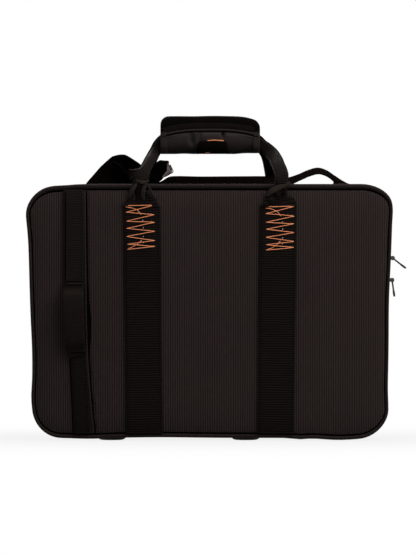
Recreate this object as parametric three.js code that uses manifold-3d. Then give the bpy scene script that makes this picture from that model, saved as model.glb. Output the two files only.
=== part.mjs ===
// A soft clarinet case with a carrying handle, a zip round three sides and a fabric hinge along the bottom.
// Millimetres. X to the right, Y from the carrying face to the rear, Z up. The feet stand on z = 0.
import * as THREE from "three";
import { mergeVertices } from "three/addons/utils/BufferGeometryUtils.js";
import Module from "manifold-3d";

const wasm = await Module();
wasm.setup();

// Driving sizes of the body
const TOP_WIDTH = 378;
const BOTTOM_WIDTH = 364;
const BODY_HEIGHT = 262;
const BASE_DEPTH = 66;
const LID_DEPTH = 54;
const TOP_RADIUS = 33;
const BOTTOM_RADIUS = 30;
const CORNER_STEPS = 6;
const TOUCH = 0.3;
const OVERRUN = 2;

// Covering, trays and foam
const GUSSET_INSET = 1;
const GUSSET_THICKNESS = 1.2;
const TRAY_WALL = 5;
const TRAY_FLOOR = 4;
const RIM_GAP = 0.8;
const PANEL_BACK = 4;
const CROWN_HEIGHT = 3;
const CROWN_SHOULDER = 1.9;
const CROWN_RUN = 34;
const SHOULDER_RUN = 9;
const PIPING_RADIUS = 2.5;
const PIPING_SIDES = 8;
const GROOVE = 0.6;
const FOAM_TOP_DROP = 8;
const FOAM_WALL = 14;
const RECESS_DEPTH = 36;
const RECESS_DRAFT = 4;
const RECESS_WALL = 10;
const PAD_THICKNESS = 30;
const PAD_BEVEL = 5;

// Zip
const TAPE_WIDTH = 12;
const TAPE_THICKNESS = 1;
const TEETH_WIDTH = 2.2;
const TEETH_RISE = 0.7;
const TEETH_GAP = 1.2;
const ZIP_END_RISE = 16;
const SLIDER_HEIGHT = 20;
const SLIDER_WIDTH = 9;
const SLIDER_PLATE = 1.5;
const UPPER_SLIDER_DROP = 76;
const SLIDER_SPACING = 23;
const PULL_AXIS_RISE = 3;
const PULL_PIN_RADIUS = 0.9;
const PULL_EYE_CLEARANCE = 0.5;
const PULL_EYE_WALL = 1;
const PULL_EYE_WIDTH = 3.6;
const PULL_POST = 1.4;
const PULL_LENGTH = 17.5;
const PULL_WIDTH = 5;
const PULL_TIP_LENGTH = 7;
const PULL_TIP_WIDTH = 6.4;
const PULL_THICKNESS = 1.6;
const UPPER_PULL_ANGLE = 52;
const LOWER_PULL_ANGLE = 8;
const ROUND_SIDES = 12;

// Feet
const FOOT_HEIGHT = 3;
const FOOT_RADIUS = 15;
const FOOT_FLAT_RADIUS = 8;
const NEAR_FOOT_LEFT = -102;
const NEAR_FOOT_RIGHT = 37;
const FAR_FOOT_SPREAD = 102;

// Webbing
const WEBBING_WIDTH = 38;
const WEBBING_THICKNESS = 2;
const STRAP_SPREAD_TOP = 70.5;
const STRAP_SPREAD_BOTTOM = 67.5;
const SEWN_TOP_DROP = 22.5;
const REAR_STRAP_INSET = 7;
const STRAP_END_RISE = 5.5;
const NARROW_WIDTH = 24;
const NARROW_TOP_INSET = 49.6;
const NARROW_BOTTOM_INSET = 50.5;
const LOOP_TOP_Z = 162;
const LOOP_BOTTOM_Z = 88;
const LOOP_BULGE = 12;

// Handle
const WRAP_CENTRE_X = 0.2;
const WRAP_LENGTH = 104;
const WRAP_HEIGHT = 39.3;
const WRAP_DEPTH = 31;
const WRAP_WALL = 4.5;
const WRAP_RISE = 33;
const BAND_DROP = 15.5;
const WRAP_END_DROP = 8;
const WRAP_END_RUN = 9;
const FLAP_PUFF = 2;
const TAB_WIDTH = 32;
const TAB_HEIGHT = 15;
const TAB_THICKNESS = 1.4;
const FOLDED_WIDTH = 11.5;
const FOLDED_THICKNESS = 6;
const NECK_WIDTH = 18;
const LOOP_PAIR_SPREAD = 12.5;

// Rear pocket
const POCKET_WIDTH = 200;
const POCKET_HEIGHT = 150;
const POCKET_BOTTOM_RISE = 40;
const POCKET_DEPTH = 14;
const POCKET_WALL = 2.4;
const POCKET_RADIUS = 16;
const POCKET_PANEL_THICKNESS = 2.4;
const POCKET_SLIDER_INSET = 28;

// Shoulder strap, rings and hooks
const SHOULDER_WIDTH = 36;
const SHOULDER_THICKNESS = 2.4;
const RING_CLEARANCE = 3;
const RING_ROD = 4;
const RING_WIDTH = 42;
const RING_HEIGHT = 20;
const RING_BASE_DROP = 84;
const RING_TILT = 0.42;
const TAB_LENGTH = 26;
const TAB_STRAP_WIDTH = 25;
const HOOK_ROD = 4.4;
const HOOK_CLEARANCE = 0.5;
const HOOK_LEG = 16;
const GATE_START = 3;
const EYE_WIDTH = 44;
const EYE_HEIGHT = 11;
const BAND_TILT = 0.13;
const ADJUSTER_ROD = 2.6;
const ADJUSTER_HEIGHT = 13;
const ADJUSTER_CLEARANCE = 1.1;
const BAND_Y = 28;
const HUMP_HEIGHT = 12.3;
const TAIL_WIDTH = 15;
const TAIL_X = -49;
const TAIL_Y = 37;
const TAIL_RISE = 8.6;

// Gives the distance from the middle plane to a slanting side at a height.
const HALF_DIFFERENCE = (TOP_WIDTH - BOTTOM_WIDTH) / 2;
const LEAN = Math.atan2(HALF_DIFFERENCE, BODY_HEIGHT);
const BODY_BOTTOM = FOOT_HEIGHT;
const BODY_TOP = FOOT_HEIGHT + BODY_HEIGHT;
const halfWidthAt = (z) => BOTTOM_WIDTH / 2 + (HALF_DIFFERENCE * (z - BODY_BOTTOM)) / BODY_HEIGHT;

const TRAY_INSET = GUSSET_INSET + GUSSET_THICKNESS + TAPE_THICKNESS;
const CAVITY_INSET = TRAY_INSET + TRAY_WALL;
const PANEL_INSET = 2 * PIPING_RADIUS + GROOVE;

const vec = (x, y, z) => new THREE.Vector3(x, y, z);
const mix = (a, b, share) => a + (b - a) * share;

// Turns a closed mesh into a solid for joining and cutting.
function toSolid(geometry) {
  const bare = geometry.clone();
  bare.deleteAttribute("normal");
  bare.deleteAttribute("uv");
  const merged = mergeVertices(bare);
  return new wasm.Manifold(
    new wasm.Mesh({
      numProp: 3,
      vertProperties: merged.attributes.position.array,
      triVerts: new Uint32Array(merged.index.array),
    }),
  );
}

function fromSolid(solid) {
  const made = solid.getMesh();
  const geometry = new THREE.BufferGeometry();
  geometry.setAttribute("position", new THREE.BufferAttribute(made.vertProperties, 3));
  geometry.setIndex(new THREE.BufferAttribute(made.triVerts, 1));
  return geometry;
}

const join = (...parts) => fromSolid(parts.map(toSolid).reduce((a, b) => a.add(b)));
const cut = (body, ...tools) => fromSolid(tools.map(toSolid).reduce((a, b) => a.subtract(b), toSolid(body)));

// Lays a skin over rows of points. Each row is a closed outline with as many points as the others.
// A closed skin joins its last row to its first, and an open one gets flat ends.
function skin(rows, closed = false) {
  const size = rows[0].length;
  const points = rows.flat();
  const faces = [];
  const bands = closed ? rows.length : rows.length - 1;
  for (let i = 0; i < bands; i += 1) {
    const here = i * size;
    const next = ((i + 1) % rows.length) * size;
    for (let j = 0; j < size; j += 1) {
      const k = (j + 1) % size;
      faces.push(here + j, here + k, next + k, here + j, next + k, next + j);
    }
  }
  if (!closed) {
    for (const triangle of flatEnd(rows[0])) faces.push(triangle[2], triangle[1], triangle[0]);
    const last = (rows.length - 1) * size;
    for (const triangle of flatEnd(rows[rows.length - 1])) faces.push(...triangle.map((n) => n + last));
  }
  const geometry = new THREE.BufferGeometry();
  const flat = new Float32Array(points.flatMap((p) => p.toArray()));
  geometry.setAttribute("position", new THREE.BufferAttribute(flat, 3));
  geometry.setIndex(signedVolume(points, faces) < 0 ? faces.reverse() : faces);
  return geometry;
}

// Splits a flat outline into triangles that turn the way the outline does.
function flatEnd(row) {
  const normal = vec(0, 0, 0);
  row.forEach((p, i) => normal.add(vec(0, 0, 0).crossVectors(p, row[(i + 1) % row.length])));
  normal.normalize();
  const helper = Math.abs(normal.z) < Math.SQRT1_2 ? vec(0, 0, 1) : vec(1, 0, 0);
  const u = vec(0, 0, 0).crossVectors(helper, normal).normalize();
  const v = vec(0, 0, 0).crossVectors(normal, u);
  const flat = row.map((p) => new THREE.Vector2(p.dot(u), p.dot(v)));
  return THREE.ShapeUtils.triangulateShape(flat, []);
}

function signedVolume(points, faces) {
  let volume = 0;
  for (let i = 0; i < faces.length; i += 3) {
    const [a, b, c] = [points[faces[i]], points[faces[i + 1]], points[faces[i + 2]]];
    volume += a.dot(vec(0, 0, 0).crossVectors(b, c));
  }
  return volume;
}

// Gives the outline of the body at a depth, drawn in by an inset from the outermost face.
// Each corner is an arc between the slanting side and the level top or bottom.
function outline(inset, y) {
  const corners = [
    { radius: BOTTOM_RADIUS, from: -Math.PI / 2, to: -LEAN, side: 1, top: false },
    { radius: TOP_RADIUS, from: -LEAN, to: Math.PI / 2, side: 1, top: true },
    { radius: TOP_RADIUS, from: Math.PI / 2, to: Math.PI + LEAN, side: -1, top: true },
    { radius: BOTTOM_RADIUS, from: Math.PI + LEAN, to: 1.5 * Math.PI, side: -1, top: false },
  ];
  return corners.flatMap((corner) => {
    const radius = Math.max(corner.radius - inset, corner.radius / CORNER_STEPS);
    const reach = inset + radius;
    const z = corner.top ? BODY_TOP - reach : BODY_BOTTOM + reach;
    const x = corner.side * (halfWidthAt(z) - reach / Math.cos(LEAN));
    return Array.from({ length: CORNER_STEPS + 1 }, (_, i) => {
      const angle = mix(corner.from, corner.to, i / CORNER_STEPS);
      return vec(x + radius * Math.cos(angle), y, z + radius * Math.sin(angle));
    });
  });
}

const slab = (inset, y0, y1) => skin([outline(inset, y0), outline(inset, y1)]);

// A ring of flat section between two insets and two depths.
function band(outer, inner, y0, y1) {
  return skin([outline(outer, y0), outline(outer, y1), outline(inner, y1), outline(inner, y0)], true);
}

// A band that follows both sides and the top, open along the bottom.
function archBand(section) {
  const rows = section.map(([inset, y]) => archPath(inset, y));
  const stations = rows[0].map((_, i) => rows.map((row) => row[i]));
  return skin(stations);
}

// The outline from near the bottom of the right side, over the top, to the bottom of the left side.
function archPath(inset, y) {
  const points = outline(inset, y);
  const steps = CORNER_STEPS + 1;
  const upper = points.slice(steps, 3 * steps);
  const endZ = BODY_BOTTOM + BOTTOM_RADIUS + ZIP_END_RISE;
  const endX = halfWidthAt(endZ) - inset / Math.cos(LEAN);
  return [vec(endX, y, endZ), ...upper, vec(-endX, y, endZ)];
}

function box(x0, x1, y0, y1, z0, z1) {
  const geometry = new THREE.BoxGeometry(x1 - x0, y1 - y0, z1 - z0);
  geometry.translate((x0 + x1) / 2, (y0 + y1) / 2, (z0 + z1) / 2);
  return geometry;
}

// Sweeps a section of given width and thickness along stations. Each station holds its point, its width and
// its thickness, and either the way its flat side faces or the direction across it. The corners are cut.
function webbing(stations, closed = false) {
  const count = stations.length;
  const rows = stations.map((station, i) => {
    const before = stations[closed ? (i + count - 1) % count : Math.max(i - 1, 0)].at;
    const after = stations[closed ? (i + 1) % count : Math.min(i + 1, count - 1)].at;
    const along = after.clone().sub(before).normalize();
    const across = station.across
      ? station.across.clone().addScaledVector(along, -station.across.dot(along)).normalize()
      : vec(0, 0, 0).crossVectors(station.faces, along).normalize();
    const up = vec(0, 0, 0).crossVectors(along, across);
    const [w, t] = [station.width / 2, station.thickness / 2];
    const bevel = Math.min(w, t) / 2;
    const section = [
      [w, t - bevel],
      [w - bevel, t],
      [bevel - w, t],
      [-w, t - bevel],
      [-w, bevel - t],
      [bevel - w, -t],
      [w - bevel, -t],
      [w, bevel - t],
    ];
    return section.map(([a, b]) => station.at.clone().addScaledVector(across, a).addScaledVector(up, b));
  });
  return skin(rows, closed);
}

const blendWay = (a, b, share) => a && b && a.clone().lerp(b, share).normalize();

// Puts stations at even shares along a smooth curve through key stations.
function smooth(keys, steps) {
  const curve = new THREE.CatmullRomCurve3(keys.map((key) => key.at));
  const last = keys.length - 1;
  return Array.from({ length: steps + 1 }, (_, i) => {
    const share = i / steps;
    const k = Math.min(Math.floor(share * last), last - 1);
    const part = share * last - k;
    return {
      at: curve.getPoint(share),
      faces: blendWay(keys[k].faces, keys[k + 1].faces, part),
      across: blendWay(keys[k].across, keys[k + 1].across, part),
      width: mix(keys[k].width, keys[k + 1].width, part),
      thickness: mix(keys[k].thickness, keys[k + 1].thickness, part),
    };
  });
}

// A round rod along points, as a closed ring or with flat ends.
function rod(points, radius, facing, closed = false) {
  const count = points.length;
  const rows = points.map((point, i) => {
    const before = points[closed ? (i + count - 1) % count : Math.max(i - 1, 0)];
    const after = points[closed ? (i + 1) % count : Math.min(i + 1, count - 1)];
    const along = after.clone().sub(before).normalize();
    const across = vec(0, 0, 0).crossVectors(facing, along).normalize();
    const up = vec(0, 0, 0).crossVectors(along, across);
    return Array.from({ length: PIPING_SIDES }, (_, k) => {
      const angle = (2 * Math.PI * k) / PIPING_SIDES;
      return point
        .clone()
        .addScaledVector(across, radius * Math.cos(angle))
        .addScaledVector(up, radius * Math.sin(angle));
    });
  });
  return skin(rows, closed);
}

const COLOURS = {
  nylon: [0x26211f, 0.85],
  webbing: [0x17130f, 0.8],
  piping: [0x241f1d, 0.8],
  plush: [0x141210, 0.95],
  tray: [0x2c2a28, 0.7],
  foam: [0x3a3533, 0.95],
  zip: [0x181614, 0.7],
  metal: [0x8d8a86, 0.35],
  rubber: [0x15110f, 0.6],
};

const caseGroup = new THREE.Group();

function add(name, geometry, finish) {
  const [color, roughness] = COLOURS[finish];
  const metalness = finish === "metal" ? 1 : 0;
  const mesh = new THREE.Mesh(geometry, new THREE.MeshStandardMaterial({ color, roughness, metalness }));
  mesh.name = name;
  caseGroup.add(mesh);
  return mesh;
}

// Height of the padded panel over the panel's edge plane, by distance from the edge of the body.
function crownAt(distance) {
  const d = distance - PANEL_INSET;
  if (d <= 0) return 0;
  if (d < SHOULDER_RUN) return (CROWN_SHOULDER * d) / SHOULDER_RUN;
  if (d < CROWN_RUN) return mix(CROWN_SHOULDER, CROWN_HEIGHT, (d - SHOULDER_RUN) / (CROWN_RUN - SHOULDER_RUN));
  return CROWN_HEIGHT;
}

// Either half of the body. The sign is -1 for the base, whose panel faces the front, and 1 for the lid.
function half(prefix, panelName, depth, sign) {
  const y = (distance) => sign * distance;
  const panelPlane = depth - CROWN_HEIGHT;
  const trayFace = panelPlane - PANEL_BACK - TOUCH;
  add(
    prefix + "_tray",
    skin([
      outline(TRAY_INSET, y(trayFace)),
      outline(TRAY_INSET, y(RIM_GAP)),
      outline(CAVITY_INSET, y(RIM_GAP)),
      outline(CAVITY_INSET, y(trayFace - TRAY_FLOOR)),
    ]),
    "tray",
  );
  add(
    panelName,
    skin([
      outline(PANEL_INSET, y(panelPlane - PANEL_BACK)),
      outline(PANEL_INSET, y(panelPlane)),
      outline(PANEL_INSET + SHOULDER_RUN, y(panelPlane + CROWN_SHOULDER)),
      outline(PANEL_INSET + CROWN_RUN, y(depth)),
    ]),
    "nylon",
  );
  const gussetEdge = trayFace;
  add(
    prefix + "_gusset",
    band(GUSSET_INSET, GUSSET_INSET + GUSSET_THICKNESS, y(gussetEdge), y(TAPE_WIDTH + TOUCH)),
    "nylon",
  );
  const pipingY = gussetEdge + TOUCH + PIPING_RADIUS;
  const rows = Array.from({ length: PIPING_SIDES }, (_, k) => {
    const angle = (2 * Math.PI * (k + 1 / 2)) / PIPING_SIDES;
    return outline(PIPING_RADIUS + PIPING_RADIUS * Math.cos(angle), y(pipingY + PIPING_RADIUS * Math.sin(angle)));
  });
  add(prefix + "_piping", skin(rows, true), "piping");
  const tapeIn = GUSSET_INSET + GUSSET_THICKNESS;
  const tapeOut = tapeIn - TAPE_THICKNESS;
  add(
    prefix + "_zip_tape",
    archBand([
      [tapeIn, y(TAPE_WIDTH)],
      [tapeOut, y(TAPE_WIDTH)],
      [tapeOut, y(TEETH_GAP / 2 + TEETH_WIDTH)],
      [tapeOut - TEETH_RISE, y(TEETH_GAP / 2 + TEETH_WIDTH)],
      [tapeOut - TEETH_RISE, y(TEETH_GAP / 2)],
      [tapeIn, y(TEETH_GAP / 2)],
    ]),
    "zip",
  );
  const hingeHalf = BOTTOM_WIDTH / 2 - BOTTOM_RADIUS;
  const hingeZ = BODY_BOTTOM + GUSSET_INSET;
  add(
    prefix + "_hinge_tape",
    box(
      -hingeHalf,
      hingeHalf,
      Math.min(y(TOUCH), y(TAPE_WIDTH)),
      Math.max(y(TOUCH), y(TAPE_WIDTH)),
      hingeZ,
      hingeZ + GUSSET_THICKNESS,
    ),
    "nylon",
  );
}

half("base", "front_panel", BASE_DEPTH, -1);
half("lid", "rear_panel", LID_DEPTH, 1);

// The moulded insert fills the base tray and stops short of its rim. Each recess has a rounded bottom.
const FOAM_BACK = BASE_DEPTH - CROWN_HEIGHT - PANEL_BACK - TRAY_FLOOR - 2 * TOUCH;
const FOAM_INSET = CAVITY_INSET + TOUCH;
const FOAM_LEFT = -(BOTTOM_WIDTH / 2 - FOAM_INSET - FOAM_WALL);
const FOAM_WIDTH = -2 * FOAM_LEFT;
const FOAM_BOTTOM = BODY_BOTTOM + FOAM_INSET + FOAM_WALL;
const FOAM_HEIGHT = BODY_HEIGHT - 2 * (FOAM_INSET + FOAM_WALL);

// Places of the recesses, as shares of the foam's inner width and height: left, right, bottom, top.
const RECESS_SHARES = {
  lower_joint: [0, 0.84, 0, 0.2],
  upper_joint: [0.16, 1, 0.27, 0.47],
  bell: [0, 0.38, 0.54, 1],
  mouthpiece: [0.42, 0.72, 0.54, 0.75],
  barrel: [0.42, 0.72, 0.8, 1],
  small_things: [0.76, 1, 0.54, 1],
};

function recess([left, right, bottom, top]) {
  const x0 = FOAM_LEFT + FOAM_WIDTH * left + RECESS_WALL / 2;
  const x1 = FOAM_LEFT + FOAM_WIDTH * right - RECESS_WALL / 2;
  const z0 = FOAM_BOTTOM + FOAM_HEIGHT * bottom;
  const z1 = FOAM_BOTTOM + FOAM_HEIGHT * top;
  const ring = (draw, y) => [
    vec(x0 + draw, y, z0 + draw),
    vec(x1 - draw, y, z0 + draw),
    vec(x1 - draw, y, z1 - draw),
    vec(x0 + draw, y, z1 - draw),
  ];
  const mouth = -FOAM_TOP_DROP;
  const bottomY = mouth - RECESS_DEPTH;
  return skin([
    ring(0, mouth + OVERRUN),
    ring(0, bottomY + RECESS_DRAFT),
    ring(RECESS_DRAFT, bottomY),
  ]);
}

add(
  "foam_insert",
  cut(slab(FOAM_INSET, -FOAM_BACK, -FOAM_TOP_DROP), ...Object.values(RECESS_SHARES).map(recess)),
  "foam",
);

const LID_FLOOR = LID_DEPTH - CROWN_HEIGHT - PANEL_BACK - TRAY_FLOOR - 2 * TOUCH;
add(
  "lid_pad",
  skin([
    outline(FOAM_INSET, LID_FLOOR),
    outline(FOAM_INSET, LID_FLOOR - PAD_THICKNESS + PAD_BEVEL),
    outline(FOAM_INSET + PAD_BEVEL, LID_FLOOR - PAD_THICKNESS),
  ]),
  "plush",
);

// Feet
function foot(name, x, y) {
  const profile = [
    [0, 0],
    [FOOT_FLAT_RADIUS, 0],
    [mix(FOOT_FLAT_RADIUS, FOOT_RADIUS, 2 / 3), FOOT_HEIGHT / 3],
    [FOOT_RADIUS, FOOT_HEIGHT],
    [FOOT_RADIUS, FOOT_HEIGHT + GUSSET_INSET - TOUCH],
    [0, FOOT_HEIGHT + GUSSET_INSET - TOUCH],
  ].map(([r, z]) => new THREE.Vector2(r, z));
  const geometry = new THREE.LatheGeometry(profile, 2 * ROUND_SIDES);
  geometry.rotateX(Math.PI / 2);
  add(name, geometry, "rubber").position.set(x, y, 0);
}

foot("foot_near_left", NEAR_FOOT_LEFT, -BASE_DEPTH / 2);
foot("foot_near_right", NEAR_FOOT_RIGHT, -BASE_DEPTH / 2);
foot("foot_far_left", -FAR_FOOT_SPREAD, LID_DEPTH / 2);
foot("foot_far_right", FAR_FOOT_SPREAD, LID_DEPTH / 2);

// Webbing bands down a panel. They follow the panel's crown.
const STITCH_TOP = BODY_TOP - SEWN_TOP_DROP;
const spreadAt = (z) => mix(STRAP_SPREAD_BOTTOM, STRAP_SPREAD_TOP, (z - BODY_BOTTOM) / BODY_HEIGHT);

// The depth of webbing that lies on a panel, at a distance from the body's edge.
function onPanel(depth, sign, distance, thickness) {
  return sign * (depth - CROWN_HEIGHT + crownAt(distance) + TOUCH + thickness / 2);
}

function panelBand(depth, sign, width, xAt, zTop) {
  const drops = [STRAP_END_RISE, PANEL_INSET + SHOULDER_RUN, PANEL_INSET + CROWN_RUN];
  const heights = [...drops.map((d) => BODY_BOTTOM + d), ...drops.map((d) => BODY_TOP - d).reverse()];
  const used = heights.filter((z) => z < zTop - OVERRUN);
  return webbing(
    [...used, zTop].map((z) => ({
      at: vec(xAt(z), onPanel(depth, sign, Math.min(z - BODY_BOTTOM, BODY_TOP - z), WEBBING_THICKNESS), z),
      faces: vec(0, sign, 0),
      width,
      thickness: WEBBING_THICKNESS,
    })),
  );
}

// The right rear band stands closer to the middle than the front one.
const insetOf = (sign, direction) => (sign > 0 && direction > 0 ? REAR_STRAP_INSET : 0);

for (const [face, depth, sign] of [["front", BASE_DEPTH, -1], ["rear", LID_DEPTH, 1]]) {
  for (const [side, direction] of [["left", -1], ["right", 1]]) {
    add(
      face + "_strap_" + side,
      panelBand(depth, sign, WEBBING_WIDTH, (z) => direction * (spreadAt(z) - insetOf(sign, direction)), STITCH_TOP),
      "webbing",
    );
  }
}

// Narrow band near the left edge, with its hand loop.
const narrowInsetAt = (z) => mix(NARROW_BOTTOM_INSET, NARROW_TOP_INSET, (z - BODY_BOTTOM) / BODY_HEIGHT);
const narrowX = (z) => narrowInsetAt(z) - halfWidthAt(z);
const NARROW_END_DROP = PANEL_INSET + TOUCH;
add(
  "side_strap",
  panelBand(BASE_DEPTH, -1, NARROW_WIDTH, narrowX, BODY_TOP - NARROW_END_DROP),
  "webbing",
);

// The hand loop's side view, as shares of its length and of its rise.
const ARCH_SHARES = [
  [0, 0],
  [0.09, 0.12],
  [0.17, 0.8],
  [0.34, 1],
  [0.66, 1],
  [0.83, 0.8],
  [0.91, 0.12],
  [1, 0],
];

function handLoop() {
  const seat = BASE_DEPTH + 2 * TOUCH + (3 * WEBBING_THICKNESS) / 2;
  const rise = LOOP_BULGE - 2 * WEBBING_THICKNESS;
  return webbing(
    ARCH_SHARES.map(([lengthShare, riseShare]) => {
      const z = mix(LOOP_BOTTOM_Z, LOOP_TOP_Z, lengthShare);
      return {
        at: vec(narrowX(z), -(seat + rise * riseShare), z),
        faces: vec(0, -1, 0),
        width: NARROW_WIDTH - WEBBING_THICKNESS,
        thickness: WEBBING_THICKNESS,
      };
    }),
  );
}

add("side_hand_loop", handLoop(), "webbing");

// Handle wrap: a grip body open below and at the front, closed by a flap hinged at its rear lower edge.
const WRAP_BOTTOM = BODY_TOP + WRAP_RISE;
const WRAP_TOP = WRAP_BOTTOM + WRAP_HEIGHT;
const BAND_EDGE = WRAP_TOP - BAND_DROP;
const WRAP_HALF = WRAP_DEPTH / 2;
const FLAP_TOP_Z = WRAP_BOTTOM + WRAP_WALL;

function wrapStations(makeRow) {
  const half = WRAP_LENGTH / 2;
  const places = [
    [-half, WRAP_END_DROP],
    [WRAP_END_RUN - half, WRAP_END_DROP / 5],
    [2 * WRAP_END_RUN - half, 0],
    [half - 2 * WRAP_END_RUN, 0],
    [half - WRAP_END_RUN, WRAP_END_DROP / 5],
    [half, WRAP_END_DROP],
  ];
  return skin(places.map(([x, drop]) => makeRow(WRAP_CENTRE_X + x, drop)));
}

function gripRow(x, drop) {
  const top = WRAP_TOP - drop;
  const shoulder = mix(BAND_EDGE, top, 0.45);
  const roof = top - WRAP_WALL;
  const roofShoulder = mix(BAND_EDGE, roof, 0.45);
  const flat = WRAP_HALF * 0.55;
  const inner = WRAP_HALF - WRAP_WALL;
  const foot = FLAP_TOP_Z + 2 * TOUCH;
  return [
    [WRAP_HALF, foot],
    [WRAP_HALF, shoulder],
    [flat, top],
    [-flat, top],
    [-WRAP_HALF, shoulder],
    [-WRAP_HALF, BAND_EDGE],
    [-inner, BAND_EDGE],
    [-inner, roofShoulder],
    [-flat * 0.8, roof],
    [flat * 0.8, roof],
    [inner, roofShoulder],
    [inner, foot],
  ].map(([y, z]) => vec(x, y, z));
}

function flapRow(x, drop) {
  const squeeze = drop / WRAP_END_DROP;
  const front = WRAP_HALF + mix(FLAP_PUFF, 0, squeeze);
  const inner = WRAP_HALF - WRAP_WALL;
  const edge = BAND_EDGE - TOUCH;
  return [
    [WRAP_HALF, WRAP_BOTTOM + WRAP_WALL / 3],
    [WRAP_HALF, FLAP_TOP_Z],
    [-inner, FLAP_TOP_Z],
    [-inner, edge],
    [-WRAP_HALF, edge],
    [-front, mix(WRAP_BOTTOM, edge, 0.7)],
    [-front, mix(WRAP_BOTTOM, edge, 0.3)],
    [-WRAP_HALF * 0.7, WRAP_BOTTOM],
    [WRAP_HALF * 0.7, WRAP_BOTTOM],
  ].map(([y, z]) => vec(x, y, z));
}

add("handle_grip", wrapStations(gripRow), "plush");
add("handle_flap", wrapStations(flapRow), "nylon");

function fingerTab() {
  const y = -(WRAP_HALF + FLAP_PUFF + TOUCH + TAB_THICKNESS / 2);
  const low = WRAP_BOTTOM - TOUCH - TAB_THICKNESS / 2;
  const bend = mix(WRAP_BOTTOM, BAND_EDGE, 0.3);
  const places = [
    [y, WRAP_BOTTOM + TAB_HEIGHT, vec(0, -1, 0)],
    [y, bend, vec(0, -1, 0)],
    [-WRAP_HALF * 0.7 - TAB_THICKNESS, low, vec(0, -1, -1)],
    [-WRAP_HALF * 0.2, low, vec(0, 0, -1)],
  ];
  return webbing(
    places.map(([py, pz, faces]) => ({
      at: vec(WRAP_CENTRE_X, py, pz),
      faces,
      width: TAB_WIDTH,
      thickness: TAB_THICKNESS,
    })),
  );
}

add("finger_tab", fingerTab(), "webbing");

// The legs of a carrying loop, from the neck to the inside of the wrap: shares of the way across to the
// wrap's end, of the way back to the loops' place in it, and of the rise to its underside.
const LEG_SHARES = {
  left: [[0.13, 0.12, 0.25], [0.375, 0.42, 0.58], [0.62, 0.96, 1.09], [0.91, 1, 1.46], [1.3, 1, 1.52]],
  right: [[-0.1, 0.1, 0.2], [0.05, 0.42, 0.58], [0.38, 0.96, 1.12], [0.82, 1, 1.45], [1.3, 1, 1.5]],
};

// A carrying loop: webbing leaves the top of its band, is gathered at a neck, passes over the top edge,
// rises inwards, bends into the wrap and comes back the same way.
function carryingLoop(depth, sign) {
  const neckZ = BODY_TOP + PIPING_RADIUS;
  const startY = sign * (depth + TOUCH + WEBBING_THICKNESS / 2);
  const neckY = sign * (depth + FOLDED_THICKNESS / 2 + TOUCH);
  const pairY = (sign * LOOP_PAIR_SPREAD) / 2;
  const midThickness = (WEBBING_THICKNESS + FOLDED_THICKNESS) / 2;
  const faces = vec(0, sign, 0);
  const sideKeys = (direction, shares) => {
    const strapX = direction * (STRAP_SPREAD_TOP - insetOf(sign, direction));
    const endX = WRAP_CENTRE_X + (direction * WRAP_LENGTH) / 2;
    const place = (x, y, z, width, thickness) => ({ at: vec(x, y, z), faces, width, thickness });
    return [
      place(strapX, startY, STITCH_TOP + TOUCH, WEBBING_WIDTH - WEBBING_THICKNESS, WEBBING_THICKNESS),
      place(strapX, mix(startY, neckY, 1 / 2), mix(STITCH_TOP, neckZ, 0.45), WEBBING_WIDTH * 0.8, midThickness),
      place(strapX, neckY, neckZ, NECK_WIDTH, FOLDED_THICKNESS),
      ...shares.map(([x, y, z]) =>
        place(mix(strapX, endX, x), mix(neckY, pairY, y), mix(neckZ, WRAP_BOTTOM, z), FOLDED_WIDTH, FOLDED_THICKNESS),
      ),
    ];
  };
  const keys = [...sideKeys(-1, LEG_SHARES.left), ...sideKeys(1, LEG_SHARES.right).reverse()];
  return webbing(smooth(keys, 2 * (keys.length - 1)));
}

add("front_handle_loop", carryingLoop(BASE_DEPTH, -1), "webbing");
add("rear_handle_loop", carryingLoop(LID_DEPTH, 1), "webbing");

// Zip sliders run on the right side. Each is two plates joined by a post that runs between the teeth.
const teethOuter = GUSSET_INSET + GUSSET_THICKNESS - TAPE_THICKNESS - TEETH_RISE;
const tapeInner = GUSSET_INSET + GUSSET_THICKNESS;
const PULL_AXIS_X = -teethOuter + TOUCH + SLIDER_PLATE + PULL_AXIS_RISE;

function sliderBody(straddles) {
  const half = SLIDER_HEIGHT / 2;
  const outer = -teethOuter + TOUCH;
  const inner = -tapeInner - TOUCH;
  const plateIn = inner - TAPE_THICKNESS / 2;
  const plateOut = outer + SLIDER_PLATE;
  const axisX = plateOut + PULL_AXIS_RISE;
  const ear = PULL_EYE_WIDTH / 2 + TOUCH;
  const earOut = ear + PULL_POST;
  const reach = PULL_PIN_RADIUS * 2;
  const pin = new THREE.CylinderGeometry(PULL_PIN_RADIUS, PULL_PIN_RADIUS, 2 * ear + PULL_POST, ROUND_SIDES);
  pin.translate(axisX, 0, 0);
  const wing = [
    box(plateIn, inner, -SLIDER_WIDTH / 2, SLIDER_WIDTH / 2, -half, half),
    box(plateIn, plateOut, -TEETH_GAP / 4, TEETH_GAP / 4, -half / 2, half / 2),
  ];
  return join(
    box(outer, plateOut, -SLIDER_WIDTH / 2, SLIDER_WIDTH / 2, -half, half),
    ...(straddles ? wing : []),
    box(outer, axisX + reach, ear, earOut, -reach, reach),
    box(outer, axisX + reach, -earOut, -ear, -reach, reach),
    pin,
  );
}

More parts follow.
